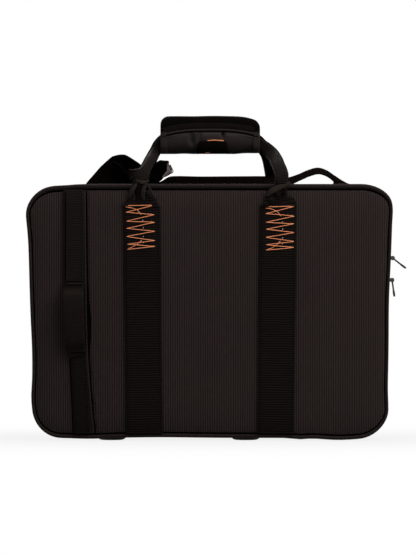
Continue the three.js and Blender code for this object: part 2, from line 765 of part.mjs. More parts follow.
// The pull hangs from its eye along -Z, before its angle is set.
function pullBody() {
  const eyeRadius = PULL_PIN_RADIUS + PULL_EYE_CLEARANCE + PULL_EYE_WALL;
  const eye = new THREE.CylinderGeometry(eyeRadius, eyeRadius, PULL_EYE_WIDTH, ROUND_SIDES);
  const hole = PULL_PIN_RADIUS + PULL_EYE_CLEARANCE;
  const bore = new THREE.CylinderGeometry(hole, hole, PULL_EYE_WIDTH + OVERRUN, ROUND_SIDES);
  const t = PULL_THICKNESS / 2;
  const narrow = PULL_EYE_WIDTH / 2;
  const ring = (w, z, thick) => [vec(-thick, -w, z), vec(thick, -w, z), vec(thick, w, z), vec(-thick, w, z)];
  const tipStart = -(PULL_LENGTH - PULL_TIP_LENGTH);
  const blade = skin([
    ring(narrow, -PULL_PIN_RADIUS, t),
    ring(narrow, -2 * eyeRadius, t),
    ring(PULL_WIDTH / 2, -3 * eyeRadius, t),
    ring(PULL_WIDTH / 2, tipStart, t),
    ring(PULL_TIP_WIDTH / 2, tipStart - PULL_THICKNESS, t * 1.3),
    ring(PULL_TIP_WIDTH / 2, -PULL_LENGTH + PULL_THICKNESS, t * 1.3),
    ring(PULL_WIDTH / 2, -PULL_LENGTH, t),
  ]);
  return cut(join(eye, blade), bore);
}

function slider(name, z, pullAngle) {
  const seat = new THREE.Group();
  seat.position.set(halfWidthAt(z), 0, z);
  seat.rotation.y = LEAN;
  const body = add("slider_" + name, sliderBody(true), "metal");
  const pull = add("pull_" + name, pullBody(), "metal");
  pull.position.x = PULL_AXIS_X;
  pull.rotation.y = -THREE.MathUtils.degToRad(pullAngle) - LEAN;
  seat.add(body, pull);
  caseGroup.add(seat);
}

const UPPER_SLIDER_Z = BODY_TOP - UPPER_SLIDER_DROP;
slider("upper", UPPER_SLIDER_Z, UPPER_PULL_ANGLE);
slider("lower", UPPER_SLIDER_Z - SLIDER_SPACING, LOWER_PULL_ANGLE);

// Rear pocket: a wall on the rear panel, closed by a panel hinged along its lower edge.
function pocketOutline(inset, y) {
  const w = POCKET_WIDTH / 2 - inset;
  const z0 = BODY_BOTTOM + POCKET_BOTTOM_RISE + inset;
  const z1 = BODY_BOTTOM + POCKET_BOTTOM_RISE + POCKET_HEIGHT - inset;
  const r = POCKET_RADIUS - inset;
  const corners = [
    [w - r, z0 + r, -Math.PI / 2],
    [w - r, z1 - r, 0],
    [r - w, z1 - r, Math.PI / 2],
    [r - w, z0 + r, Math.PI],
  ];
  const steps = CORNER_STEPS - 2;
  return corners.flatMap(([x, z, from]) =>
    Array.from({ length: steps + 1 }, (_, i) => {
      const angle = from + (Math.PI / 2) * (i / steps);
      return vec(x + r * Math.cos(angle), y, z + r * Math.sin(angle));
    }),
  );
}

const POCKET_FACE = LID_DEPTH + WEBBING_THICKNESS + 2 * TOUCH;
const POCKET_EDGE = POCKET_FACE + POCKET_DEPTH;
add(
  "pocket_wall",
  skin(
    [
      pocketOutline(0, POCKET_FACE),
      pocketOutline(0, POCKET_EDGE),
      pocketOutline(POCKET_WALL, POCKET_EDGE),
      pocketOutline(POCKET_WALL, POCKET_FACE),
    ],
    true,
  ),
  "nylon",
);
add(
  "pocket_panel",
  skin([
    pocketOutline(0, POCKET_EDGE + TOUCH),
    pocketOutline(0, POCKET_EDGE + TOUCH + POCKET_PANEL_THICKNESS),
    pocketOutline(SHOULDER_RUN, POCKET_EDGE + TOUCH + POCKET_PANEL_THICKNESS + CROWN_SHOULDER),
  ]),
  "nylon",
);

// D rings on webbing tabs, snap hooks with gates, and the shoulder strap between them.
const RING_SPREAD = POCKET_WIDTH / 2 + RING_CLEARANCE + RING_WIDTH / 2;
const REAR_FACE = LID_DEPTH + TOUCH;
const RING_BASE_Z = BODY_TOP - RING_BASE_DROP;
const RING_Y = REAR_FACE + RING_ROD / 2 + WEBBING_THICKNESS + 4 * TOUCH;

function ringPoints() {
  const half = RING_WIDTH / 2 - RING_ROD / 2;
  const flank = RING_HEIGHT * 0.45;
  const arc = 6;
  const points = [vec(-half, 0, 0), vec(half, 0, 0), vec(half, 0, flank / 2)];
  for (let i = 0; i <= arc; i += 1) {
    const angle = (Math.PI * i) / arc;
    points.push(vec(half * Math.cos(angle), 0, flank + (RING_HEIGHT - flank) * Math.sin(angle)));
  }
  points.push(vec(-half, 0, flank / 2));
  return points;
}

function ringAndTab(side, direction) {
  const x = direction * RING_SPREAD;
  const ring = add("d_ring_" + side, rod(ringPoints(), RING_ROD / 2, vec(0, 1, 0), true), "metal");
  ring.position.set(x, RING_Y, RING_BASE_Z);
  ring.rotation.x = -RING_TILT;
  const out = RING_ROD / 2 + WEBBING_THICKNESS / 2 + 3 * TOUCH;
  const low = RING_BASE_Z - TAB_LENGTH;
  const inner = REAR_FACE + WEBBING_THICKNESS / 2;
  const places = [
    [inner, low],
    [inner, RING_BASE_Z - out],
    [RING_Y - out, RING_BASE_Z],
    [RING_Y, RING_BASE_Z + out],
    [RING_Y + out, RING_BASE_Z],
    [inner + WEBBING_THICKNESS + TOUCH, RING_BASE_Z - 2 * out],
    [inner + WEBBING_THICKNESS + TOUCH, low],
  ];
  add(
    "ring_tab_" + side,
    webbing(
      places.map(([py, pz], i) => {
        const before = places[Math.max(i - 1, 0)];
        const after = places[Math.min(i + 1, places.length - 1)];
        return {
          at: vec(x, py, pz),
          faces: vec(0, before[1] - after[1], after[0] - before[0]).normalize(),
          width: TAB_STRAP_WIDTH,
          thickness: WEBBING_THICKNESS,
        };
      }),
    ),
    "webbing",
  );
}

ringAndTab("left", -1);
ringAndTab("right", 1);

// Pocket slider on the upper edge of the pocket, with its pull lying along the edge.
const pocketSeat = new THREE.Group();
pocketSeat.position.set(
  POCKET_WIDTH / 2 - POCKET_SLIDER_INSET,
  POCKET_EDGE,
  BODY_BOTTOM + POCKET_BOTTOM_RISE + POCKET_HEIGHT + teethOuter,
);
pocketSeat.rotation.y = -Math.PI / 2;
const pocketPull = add("pocket_pull", pullBody(), "metal");
pocketPull.position.x = PULL_AXIS_X;
pocketPull.rotation.y = Math.PI;
pocketSeat.add(add("pocket_slider", sliderBody(false), "metal"), pocketPull);
caseGroup.add(pocketSeat);

// Snap hooks. Each loops under the top of its ring, and its gate closes the side towards the panel.
const HOOK_Y = RING_Y + RING_HEIGHT * Math.sin(RING_TILT);
const HOOK_Z = RING_BASE_Z + RING_HEIGHT * Math.cos(RING_TILT);
const HOOK_BEND = RING_ROD / 2 + HOOK_CLEARANCE + HOOK_ROD / 2;
const HOOK_TOP = HOOK_LEG + HOOK_BEND;
const EYE_Z = HOOK_TOP + EYE_HEIGHT;

function hookBody() {
  const points = [vec(0, -HOOK_BEND, GATE_START)];
  const arc = 6;
  for (let i = 0; i <= arc; i += 1) {
    const angle = Math.PI + (Math.PI * i) / arc;
    points.push(vec(0, HOOK_BEND * Math.cos(angle), HOOK_BEND * Math.sin(angle)));
  }
  for (let i = 0; i <= arc; i += 1) {
    const angle = (Math.PI * i) / arc;
    points.push(vec(0, HOOK_BEND * Math.cos(angle), HOOK_LEG + HOOK_BEND * Math.sin(angle)));
  }
  const half = EYE_WIDTH / 2;
  const eye = [
    vec(-half, 0, HOOK_TOP),
    vec(half, 0, HOOK_TOP),
    vec(half, 0, EYE_Z),
    vec(-half, 0, EYE_Z),
  ];
  return join(rod(points, HOOK_ROD / 2, vec(1, 0, 0)), rod(eye, RING_ROD / 2, vec(0, 1, 0), true));
}

function gateBody() {
  const ends = [GATE_START + TOUCH, HOOK_LEG - 2 * TOUCH];
  return rod(ends.map((z) => vec(0, -HOOK_BEND, z)), (HOOK_ROD / 2) * 0.85, vec(1, 0, 0));
}

for (const [side, direction] of [["left", -1], ["right", 1]]) {
  const seat = new THREE.Group();
  seat.position.set(direction * RING_SPREAD, HOOK_Y, HOOK_Z);
  seat.add(add("hook_" + side, hookBody(), "metal"), add("hook_gate_" + side, gateBody(), "metal"));
  caseGroup.add(seat);
}

// Shoulder strap. Each end turns round the bar of its hook. Between them the strap rises in a hump at the
// left, lies as a band on the top of the body, and rises in an arch at the right.
const BAR_Z = HOOK_Z + EYE_Z;
const TURN = RING_ROD / 2 + 2 * TOUCH + SHOULDER_THICKNESS / 2;
const BAND_Z = BODY_TOP + SHOULDER_THICKNESS + (SHOULDER_WIDTH / 2) * Math.sin(BAND_TILT);
const sideways = (sign) => vec(sign, 0, 0);

function strapEnd(direction) {
  const keys = [[-TURN, EYE_HEIGHT], [-TURN, 0]];
  const arc = 4;
  for (let i = 1; i < arc; i += 1) {
    const angle = Math.PI + (Math.PI * i) / arc;
    keys.push([TURN * Math.cos(angle), TURN * Math.sin(angle)]);
  }
  keys.push([TURN, 0]);
  const x = direction * RING_SPREAD;
  return keys.map(([y, z]) => ({ at: vec(x, HOOK_Y + y, BAR_Z + z), across: sideways(-direction) }));
}

// The way of the strap over the body. Each row holds a share of the ring spread, a share of the way from
// the band back to the rings, a share of the hump's height over the band, and the direction across the
// strap. Rows with no direction lie as flat as the band.
const STRAP_WAY_SHARES = [
  [-0.935, 0.851, -0.466, [0.93, 0, -0.36]],
  [-0.863, 0.782, 0.347, [0.75, 0, -0.66]],
  [-0.782, 0.667, 0.753, [0.4, 0.1, -0.9]],
  [-0.702, 0.414, 1, [0.1, 0.5, -0.85]],
  [-0.613, 0.138, 0.672, [0, 0.75, -0.66]],
  [-0.5, 0.023, 0.266, [0, 0.92, -0.38]],
  [-0.355, 0, 0.081],
  [-0.065, 0, 0],
  [0.274, 0, 0.081],
  [0.484, -0.046, 0],
  [0.645, -0.046, 0],
  [0.79, 0.092, 0.42, [0, 0.96, 0.28]],
  [0.911, 0.207, 0.78, [-0.2, 0.94, 0.28]],
  [1.008, 0.437, 0.72, [-0.6, 0.78, 0.2]],
  [1.056, 0.839, 0, [-0.95, 0.3, 0]],
];

function shoulderStrap() {
  const flat = [0, Math.cos(BAND_TILT), Math.sin(BAND_TILT)];
  const outer = HOOK_Y + TURN;
  const way = STRAP_WAY_SHARES.map(([x, y, z, across = flat]) => ({
    at: vec(RING_SPREAD * x, mix(BAND_Y, outer, y), BAND_Z + HUMP_HEIGHT * z),
    across: vec(...across),
  }));
  const rise = (direction) =>
    [1, 2].map((n) => ({
      at: vec(direction * RING_SPREAD, outer, BAR_Z + n * EYE_HEIGHT),
      across: sideways(-direction),
    }));
  const keys = [...strapEnd(-1), ...rise(-1), ...way, ...rise(1).reverse(), ...strapEnd(1).reverse()];
  const stations = keys.map((key) => ({ ...key, width: SHOULDER_WIDTH, thickness: SHOULDER_THICKNESS }));
  return webbing(smooth(stations, 2 * (stations.length - 1)));
}

add("shoulder_strap", shoulderStrap(), "webbing");

// The free end of the strap stands up beside the left root of the handle and folds back on itself. Each row
// holds shares of its width for its place, and the direction across it.
const TAIL_SHARES = [
  [-0.4, 0.067, 0, [0.3, 0.5, -0.8]],
  [0, -0.067, 0.04, [0.45, 0.15, -0.85]],
  [0.333, -0.2, 0.293, [0.45, 0.15, -0.85]],
  [0.533, -0.033, 0.4, [0.45, 0.15, -0.85]],
  [0.333, 0.133, 0.293, [0.45, 0.15, -0.85]],
  [0, 0.267, 0.12, [0.3, 0.4, -0.85]],
];

function strapTail() {
  const start = vec(TAIL_X, TAIL_Y, BAND_Z + TAIL_RISE);
  return webbing(
    TAIL_SHARES.map(([x, y, z, across]) => ({
      at: vec(x, y, z).multiplyScalar(TAIL_WIDTH).add(start),
      across: vec(...across),
      width: TAIL_WIDTH,
      thickness: WEBBING_THICKNESS,
    })),
  );
}

add("strap_tail", strapTail(), "webbing");

// Strap adjuster: a frame with a middle bar that lies on the outer side of the strap's right descent.
function adjuster() {
  const half = SHOULDER_WIDTH / 2 + 2 * TOUCH + ADJUSTER_ROD / 2;
  const tall = ADJUSTER_HEIGHT / 2;
  const frame = [vec(-half, 0, -tall), vec(half, 0, -tall), vec(half, 0, tall), vec(-half, 0, tall)];
  const bar = [vec(-half, 0, 0), vec(half, 0, 0)];
  const facing = vec(0, 1, 0);
  return join(rod(frame, ADJUSTER_ROD / 2, facing, true), rod(bar, ADJUSTER_ROD / 2, facing));
}

const ADJUSTER_Y = HOOK_Y + TURN + SHOULDER_THICKNESS / 2 + ADJUSTER_CLEARANCE + ADJUSTER_ROD / 2;
add("strap_adjuster", adjuster(), "metal").position.set(RING_SPREAD, ADJUSTER_Y, BAR_Z + ADJUSTER_HEIGHT / 2);

const bounds = new THREE.Box3().setFromObject(caseGroup);
caseGroup.position.x = -(bounds.min.x + bounds.max.x) / 2;

export default caseGroup;
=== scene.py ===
"""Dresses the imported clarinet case: ribbed nylon, webbing, stitching, zips, handle, straps and lining.

Shapes are worked out in millimetres from the case's middle plane, and Shape.make turns them into the frame's
metres. X runs to the right, Y from the carrying face to the rear, Z up.
"""
import math
import random

import bmesh
import bpy
import numpy as np
from bpy.props import FloatProperty, FloatVectorProperty, PointerProperty
from bpy.types import Operator, Panel, PropertyGroup
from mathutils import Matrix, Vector
from mathutils.geometry import delaunay_2d_cdt


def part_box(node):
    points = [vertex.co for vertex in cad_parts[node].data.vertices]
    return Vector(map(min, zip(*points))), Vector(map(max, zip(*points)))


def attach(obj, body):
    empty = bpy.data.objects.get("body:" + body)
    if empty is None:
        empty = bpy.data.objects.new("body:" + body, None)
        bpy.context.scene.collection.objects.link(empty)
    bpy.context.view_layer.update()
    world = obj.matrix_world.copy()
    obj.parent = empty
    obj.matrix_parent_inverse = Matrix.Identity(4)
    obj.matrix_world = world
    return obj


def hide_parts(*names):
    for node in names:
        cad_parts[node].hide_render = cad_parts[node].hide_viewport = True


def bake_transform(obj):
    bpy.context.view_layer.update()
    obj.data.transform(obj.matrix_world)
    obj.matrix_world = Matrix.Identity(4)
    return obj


bl_info = {
    "name": "Clarinet case dressing",
    "version": (1, 0, 0),
    "blender": (4, 5, 0),
    "location": "3D View > Sidebar > Clarinet case",
    "description": "Builds the fabric, stitching, fittings and lining of a soft clarinet case",
    "category": "Object",
}

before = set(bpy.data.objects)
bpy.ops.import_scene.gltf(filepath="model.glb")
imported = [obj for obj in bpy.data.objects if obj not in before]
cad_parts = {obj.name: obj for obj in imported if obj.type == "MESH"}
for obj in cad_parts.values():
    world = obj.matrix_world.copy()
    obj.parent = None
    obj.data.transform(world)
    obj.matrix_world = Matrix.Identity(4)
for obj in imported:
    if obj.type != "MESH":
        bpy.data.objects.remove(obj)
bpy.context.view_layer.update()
MM = 0.001
FACE_LOW, FACE_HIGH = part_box("base_piping")
MIDDLE_X = (FACE_LOW.x + FACE_HIGH.x) / 2

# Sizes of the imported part, in millimetres
TOP_WIDTH = 378
BOTTOM_WIDTH = 364
BODY_HEIGHT = 262
FOOT_HEIGHT = 3
BASE_DEPTH = 66
LID_DEPTH = 54
TOP_RADIUS = 33
BOTTOM_RADIUS = 30
TOUCH = 0.3
GUSSET_INSET = 1
GUSSET_THICKNESS = 1.2
TRAY_WALL = 5
TRAY_FLOOR = 4
PANEL_BACK = 4
CROWN_HEIGHT = 3
CROWN_FADE = 8.6
PIPING_RADIUS = 2.5
PANEL_INSET = 5.6
PANEL_EDGE = 7.2
TAPE_WIDTH = 12
TAPE_THICKNESS = 1
TEETH_GAP = 1.2
ZIP_END_RISE = 16
WEBBING_WIDTH = 38
WEBBING_THICKNESS = 2
STRAP_SPREAD_TOP = 70.5
STRAP_SPREAD_BOTTOM = 67.5
SEWN_TOP_DROP = 22.5
REAR_STRAP_INSET = 7
STRAP_END_RISE = 5.5
LOOP_TOP_Z = 162
LOOP_BOTTOM_Z = 88
LOOP_BULGE = 12
WRAP_CENTRE_X = 0.2
WRAP_LENGTH = 104
WRAP_HEIGHT = 39.3
WRAP_DEPTH = 31
WRAP_WALL = 4.5
WRAP_RISE = 33
BAND_DROP = 15.5
TAB_HEIGHT = 15
TAB_THICKNESS = 1.4
POCKET_WIDTH = 200
POCKET_HEIGHT = 150
POCKET_BOTTOM_RISE = 40
POCKET_DEPTH = 14
POCKET_WALL = 2.4
POCKET_RADIUS = 16
POCKET_PANEL_THICKNESS = 2.4
SHOULDER_WIDTH = 36
SHOULDER_THICKNESS = 2.4
RING_SPREAD = 124
RING_ROD = 4
RING_HEIGHT = 20
RING_BASE_DROP = 84
RING_TILT = 0.42
TAB_LENGTH = 26
TAB_STRAP_WIDTH = 25
EYE_HEIGHT = 11
HOOK_TOP = 20.7
BAND_TILT = 0.13
FLAT_TILT = 0.22
TAIL_X = -49
TAIL_Y = 37
TAIL_RISE = 8.6
RECESS_DEPTH = 36
FOAM_TOP_DROP = 8
FOAM_WALL = 14
RECESS_WALL = 10
PAD_THICKNESS = 30

# Heights and places that follow from them
BODY_BOTTOM = FOOT_HEIGHT
BODY_TOP = FOOT_HEIGHT + BODY_HEIGHT
HALF_DIFFERENCE = (TOP_WIDTH - BOTTOM_WIDTH) / 2
LEAN = math.atan2(HALF_DIFFERENCE, BODY_HEIGHT)
STITCH_TOP = BODY_TOP - SEWN_TOP_DROP
WRAP_BOTTOM = BODY_TOP + WRAP_RISE
WRAP_TOP = WRAP_BOTTOM + WRAP_HEIGHT
BAND_EDGE = WRAP_TOP - BAND_DROP
FLAP_TOP_Z = WRAP_BOTTOM + WRAP_WALL
WRAP_HALF = WRAP_DEPTH / 2
TRAY_INSET = GUSSET_INSET + GUSSET_THICKNESS + TAPE_THICKNESS
FOAM_INSET = TRAY_INSET + TRAY_WALL + TOUCH
POCKET_FACE = LID_DEPTH + WEBBING_THICKNESS + 2 * TOUCH
POCKET_EDGE = POCKET_FACE + POCKET_DEPTH
REAR_FACE = LID_DEPTH + TOUCH
RING_BASE_Z = BODY_TOP - RING_BASE_DROP
RING_Y = REAR_FACE + RING_ROD / 2 + WEBBING_THICKNESS + 4 * TOUCH
HOOK_Y = RING_Y + RING_HEIGHT * math.sin(RING_TILT)
BAR_Z = RING_BASE_Z + RING_HEIGHT * math.cos(RING_TILT) + HOOK_TOP + EYE_HEIGHT
TURN = RING_ROD / 2 + 2 * TOUCH + SHOULDER_THICKNESS / 2
BAND_Z = BODY_TOP + SHOULDER_THICKNESS + SHOULDER_WIDTH / 2 * math.sin(BAND_TILT)

# How finely outlines are drawn
ARC_STEPS = 12
SIDE_STEPS = 26
WIDE_STEPS = 36


class CaseSizes(PropertyGroup):
    """Sizes of the fabric and the sewing."""

    rib_pitch: FloatProperty(name="Rib pitch", description="Distance between the ribs of the nylon",
                             default=2.4 * MM, unit="LENGTH")
    webbing_pitch: FloatProperty(name="Webbing pitch", description="Distance between the ribs of the webbing",
                                 default=2.5 * MM, unit="LENGTH")
    stitch_length: FloatProperty(name="Stitch length", description="Length of one stitch",
                                 default=2.6 * MM, unit="LENGTH")
    stitch_pitch: FloatProperty(name="Stitch pitch", description="Distance from stitch to stitch",
                                default=3.6 * MM, unit="LENGTH")
    thread_radius: FloatProperty(name="Thread radius", description="Radius of the sewing thread",
                                 default=0.3 * MM, unit="LENGTH")
    bar_thread_radius: FloatProperty(name="Bar thread radius", description="Radius of the coloured thread",
                                     default=0.38 * MM, unit="LENGTH")
    tooth_pitch: FloatProperty(name="Tooth pitch", description="Distance between the turns of the zip's coil",
                               default=1.9 * MM, unit="LENGTH")


class CaseColours(PropertyGroup):
    """Colours of the materials."""

    nylon: FloatVectorProperty(name="Nylon", description="Ribbed nylon of the panels", subtype="COLOR",
                               default=(0.0185, 0.0125, 0.0112), min=0, max=1)
    webbing: FloatVectorProperty(name="Webbing", description="Bands, loops and straps", subtype="COLOR",
                                 default=(0.0050, 0.0034, 0.0028), min=0, max=1)
    velvet: FloatVectorProperty(name="Velvet", description="Grip and finger tab of the handle",
                                subtype="COLOR", default=(0.0024, 0.0019, 0.0017), min=0, max=1)
    lining: FloatVectorProperty(name="Lining", description="Plush lining of the insert and the pad",
                                subtype="COLOR", default=(0.011, 0.010, 0.011), min=0, max=1)
    binding: FloatVectorProperty(name="Binding", description="Bound edges of the handle", subtype="COLOR",
                                 default=(0.0120, 0.0088, 0.0076), min=0, max=1)
    bar_thread: FloatVectorProperty(name="Bar thread", description="Coloured thread of the bars",
                                    subtype="COLOR", default=(0.72, 0.24, 0.10), min=0, max=1)
    # The dark thread is partly painted shade along the stitch rows.
    dark_thread: FloatVectorProperty(name="Dark thread", description="Thread of the plain seams",
                                     subtype="COLOR", default=(0.0014, 0.0011, 0.0010), min=0, max=1)
    metal: FloatVectorProperty(name="Metal", description="Plated fittings", subtype="COLOR",
                               default=(0.30, 0.29, 0.28), min=0, max=1)
    rubber: FloatVectorProperty(name="Rubber", description="Feet", subtype="COLOR",
                                default=(0.006, 0.005, 0.005), min=0, max=1)
    surroundings: FloatVectorProperty(name="Surroundings", description="Even light from all round the case",
                                      subtype="COLOR", default=(0.9, 0.9, 0.9), min=0, max=1)


class CaseStage(PropertyGroup):
    """Camera and light."""

    distance: FloatProperty(name="Camera distance", description="From the camera to the front panel",
                            default=4.0, unit="LENGTH")
    height: FloatProperty(name="Camera height", description="Height of the level camera",
                          default=0.1685, unit="LENGTH")
    view_height: FloatProperty(name="View height", description="Height of the frame at the front panel",
                               default=0.5717, unit="LENGTH")
    middle: FloatProperty(name="View middle", description="X of the frame's middle",
                          default=-11.4 * MM, unit="LENGTH")
    key_power: FloatProperty(name="Key light", description="Power of the right front lamp",
                             default=18, unit="POWER")
    fill_power: FloatProperty(name="Fill light", description="Power of the left front lamp",
                              default=3.6, unit="POWER")
    rear_power: FloatProperty(name="Rear light", description="Power of the lamp behind the case",
                              default=46, unit="POWER")
    top_power: FloatProperty(name="Top light", description="Power of the lamp over the case",
                             default=12, unit="POWER")
    world_strength: FloatProperty(name="World strength", description="Strength of the even light",
                                  default=0.16)


def sizes():
    return bpy.context.scene.case_sizes


def colours():
    return bpy.context.scene.case_colours


# Shader expressions


class Value:
    """A shader socket in an expression. Each operator adds one Math node."""

    def __init__(self, look, socket):
        self.look = look
        self.socket = socket

    def __add__(self, other):
        return self.look.maths("ADD", self, other)

    __radd__ = __add__

    def __sub__(self, other):
        return self.look.maths("SUBTRACT", self, other)

    def __rsub__(self, other):
        return self.look.maths("SUBTRACT", other, self)

    def __mul__(self, other):
        return self.look.maths("MULTIPLY", self, other)

    __rmul__ = __mul__

    def __truediv__(self, other):
        return self.look.maths("DIVIDE", self, other)

    def __rtruediv__(self, other):
        return self.look.maths("DIVIDE", other, self)

    def __pow__(self, other):
        return self.look.maths("POWER", self, other)

    def __rpow__(self, other):
        return self.look.maths("POWER", other, self)


class Nodes:
    """The nodes of a material or a world, added by expressions."""

    def __init__(self, owner):
        owner.use_nodes = True
        self.tree = owner.node_tree
        self.tree.nodes.clear()

    def node(self, kind, settings=None, inputs=None):
        """A node of a type, with its settings and then the values or links of its sockets."""
        made = self.tree.nodes.new(kind)
        for name, value in (settings or {}).items():
            setattr(made, name, value)
        self.feed(made, inputs or {})
        return made

    def feed(self, node, inputs):
        for name, value in inputs.items():
            if isinstance(value, Value):
                self.tree.links.new(value.socket, node.inputs[name])
            else:
                node.inputs[name].default_value = value

    def out(self, node, name=0):
        return Value(self, node.outputs[name])

    def maths(self, operation, *values):
        return self.out(self.node("ShaderNodeMath", {"operation": operation}, dict(enumerate(values))))

    def seen(self):
        """1 for what the camera sees, straight, mirrored or through something, and 0 for what the case's matt
        surfaces are lit by."""
        path = self.node("ShaderNodeLightPath")
        rays = (self.out(path, "Is Camera Ray") + self.out(path, "Is Glossy Ray")
                + self.out(path, "Is Transmission Ray"))
        return self.maths("MINIMUM", rays, 1)

    def mixed(self, share, first, second):
        """Two shaders mixed by a share."""
        inputs = {0: share, 1: self.out(first), 2: self.out(second)}
        return self.out(self.node("ShaderNodeMixShader", None, inputs))


class Look(Nodes):
    """A material. Its surface is a Principled shader."""

    def __init__(self, name):
        self.material = bpy.data.materials.new(name)
        super().__init__(self.material)
        self.surface = self.node("ShaderNodeBsdfPrincipled")
        self.output = self.node("ShaderNodeOutputMaterial", None, {"Surface": self.out(self.surface)})

    def set(self, **inputs):
        self.feed(self.surface, {name.replace("_", " "): value for name, value in inputs.items()})
        return self

    def lay(self):
        """The fabric's own coordinates, in millimetres: across the ribs and along them."""
        parts = self.node("ShaderNodeSeparateXYZ", None,
                          {"Vector": self.out(self.node("ShaderNodeUVMap", {"uv_map": "lay"}))})
        return self.out(parts, "X"), self.out(parts, "Y")

    def place(self):
        return self.out(self.node("ShaderNodeTexCoord"), "Object")

    def noise(self, scale, detail=3, roughness=0.55):
        """Noise from 0 to 1 with features of about 1/scale metres."""
        made = self.node("ShaderNodeTexNoise", None,
                         {"Vector": self.place(), "Scale": scale, "Detail": detail, "Roughness": roughness})
        return self.out(made, "Fac")

    def ramp(self, start, end):
        """0 below one height and 1 above another, in metres."""
        height = self.out(self.node("ShaderNodeSeparateXYZ", None, {"Vector": self.place()}), "Z")
        return self.maths("MINIMUM", self.maths("MAXIMUM", (height - start) / (end - start), 0), 1)

    def mix(self, a, b, share):
        def four(colour):
            return colour if isinstance(colour, Value) else (*colour[:3], 1)

        made = self.node("ShaderNodeMix", {"data_type": "RGBA"}, {0: share, 6: four(a), 7: four(b)})
        return self.out(made, 2)

    def bump(self, height, distance, strength=1):
        made = self.node("ShaderNodeBump", None,
                         {"Height": height, "Distance": distance, "Strength": strength})
        return self.out(made, "Normal")

    def wave(self, coordinate, pitch):
        """Rounded ribs: 0 in the grooves and 1 on the crests, once in each pitch."""
        return self.maths("ABSOLUTE", self.maths("SINE", coordinate * (math.pi / pitch)))


LOOKS = {}


def look(function):
    """Makes each material once and gives it again by its function's name."""
    def once():
        if function.__name__ not in LOOKS:
            LOOKS[function.__name__] = function(Look(function.__name__))
        return LOOKS[function.__name__].material
    return once


def darker(colour, share):
    return tuple(channel * share for channel in colour)


# How light the ribs' crests are against the cloth's colour, tints of the shine on cloth and on pile, the dark
# colour of the strap's cut edge with its pale painted glint, and the colour of scuffed rubber
CREST = 1.4
WARM_TINT = (1, 0.84, 0.78, 1)
COOL_TINT = (0.9, 0.88, 0.9, 1)
EDGE_DARK = (0.05, 0.03, 0.028)
GLINT_PALE = (0.42, 0.33, 0.33)
SCUFFED_RUBBER = (0.03, 0.028, 0.026)


def ribbed(made, colour, pitch, depth, pick=0.85, groove=0.18, sheen=0.04, gloss=0.06, wear_and_shade=None):
    """Ribbed cloth: ribs across the first fabric coordinate, with finer threads along each rib. The last
    argument gives a colour of painted shade laid over the cloth, and the share of the cloth's own colour left
    over it."""
    u, v = made.lay()
    cloud = made.noise(30, 4)
    rib = made.wave(u + 0.35 * made.noise(60, 2), pitch / MM)
    threads = made.wave(v + 0.5 * rib, pick)
    fuzz = made.noise(1100, 2)
    slubs = made.noise(260, 3, 0.7)
    tone = rib ** 0.8 * (0.6 + 0.4 * threads) * (0.55 + 0.5 * slubs + 0.4 * cloud)
    height = rib ** 0.7 + 0.3 * threads * rib + 0.35 * fuzz
    cloth = made.mix(darker(colour, groove), darker(colour, CREST), tone)
    # Painted shade: where the share is low, a darker colour is laid over the cloth.
    if wear_and_shade:
        cloth = made.mix(wear_and_shade[0], cloth, wear_and_shade[1])
    return made.set(Base_Color=cloth, Roughness=0.6 + 0.3 * fuzz, Normal=made.bump(height, depth),
                    Specular_IOR_Level=gloss, Sheen_Weight=sheen, Sheen_Roughness=0.5,
                    Sheen_Tint=WARM_TINT)


@look
def ribbed_nylon(made):
    return ribbed(made, colours().nylon, sizes().rib_pitch, 0.55 * MM)


@look
def gusset_nylon(made):
    return ribbed(made, darker(colours().nylon, 0.8), sizes().rib_pitch, 0.4 * MM)


@look
def piping_nylon(made):
    return ribbed(made, darker(colours().nylon, 0.6), 1.6 * MM, 0.2 * MM, groove=0.6, gloss=0.04)


# Near-black nylon for the cord's flange and for the dark strips in grooves, creases and seams: painted shade.
@look
def flange_nylon(made):
    return ribbed(made, darker(colours().nylon, 0.1), 1.6 * MM, 0.2 * MM, sheen=0, gloss=0)


@look
def webbing_weave(made):
    return ribbed(made, colours().webbing, sizes().webbing_pitch, 0.6 * MM, pick=1.3, groove=0.12,
                  sheen=0.01, gloss=0.03)


@look
def shoulder_weave(made):
    return ribbed(made, colours().webbing, sizes().webbing_pitch, 0.4 * MM, pick=1.3, sheen=0, gloss=0)


@look
def shade_weave(made):
    """The rear loop's webbing, which stands in the shade."""
    return ribbed(made, darker(colours().webbing, 0.55), sizes().webbing_pitch, 0.6 * MM, pick=1.3,
                  groove=0.12, sheen=0, gloss=0.02)


@look
def narrow_weave(made):
    """The narrow band and its loop, with painted shade: darker towards the bottom, where less light reaches
    them.
    """
    colour = colours().webbing
    return ribbed(made, darker(colour, 1.5), sizes().webbing_pitch * 0.7, 0.4 * MM, pick=1.3, groove=0.25,
                  sheen=0.01, gloss=0.03, wear_and_shade=(darker(colour, 0.45), 0.45 + 0.55 * made.ramp(0.06, 0.15)))


@look
def pleat_weave(made):
    """The gathered webbing where it stands up and takes more light, painted much lighter than the webbing as
    a painted highlight.
    """
    return ribbed(made, darker(colours().webbing, 3.2), 1.7 * MM, 0.4 * MM, pick=0.9, groove=0.35,
                  sheen=0.03, gloss=0.03)


@look
def sealed_edge(made):
    """The strap's cut edge, smooth, painted paler than the weave as a glint: pale patches over a dark colour.
    """
    cloud = made.noise(400, 3)
    return made.set(Base_Color=made.mix(EDGE_DARK, GLINT_PALE, cloud ** 1.6 * 1.6),
                    Roughness=0.3 + 0.3 * cloud, Normal=made.bump(cloud, 0.2 * MM), Specular_IOR_Level=0.4)


@look
def binding_tape(made):
    return ribbed(made, colours().binding, 1.1 * MM, 0.2 * MM, pick=0.7, groove=0.5, sheen=0.06, gloss=0.06)


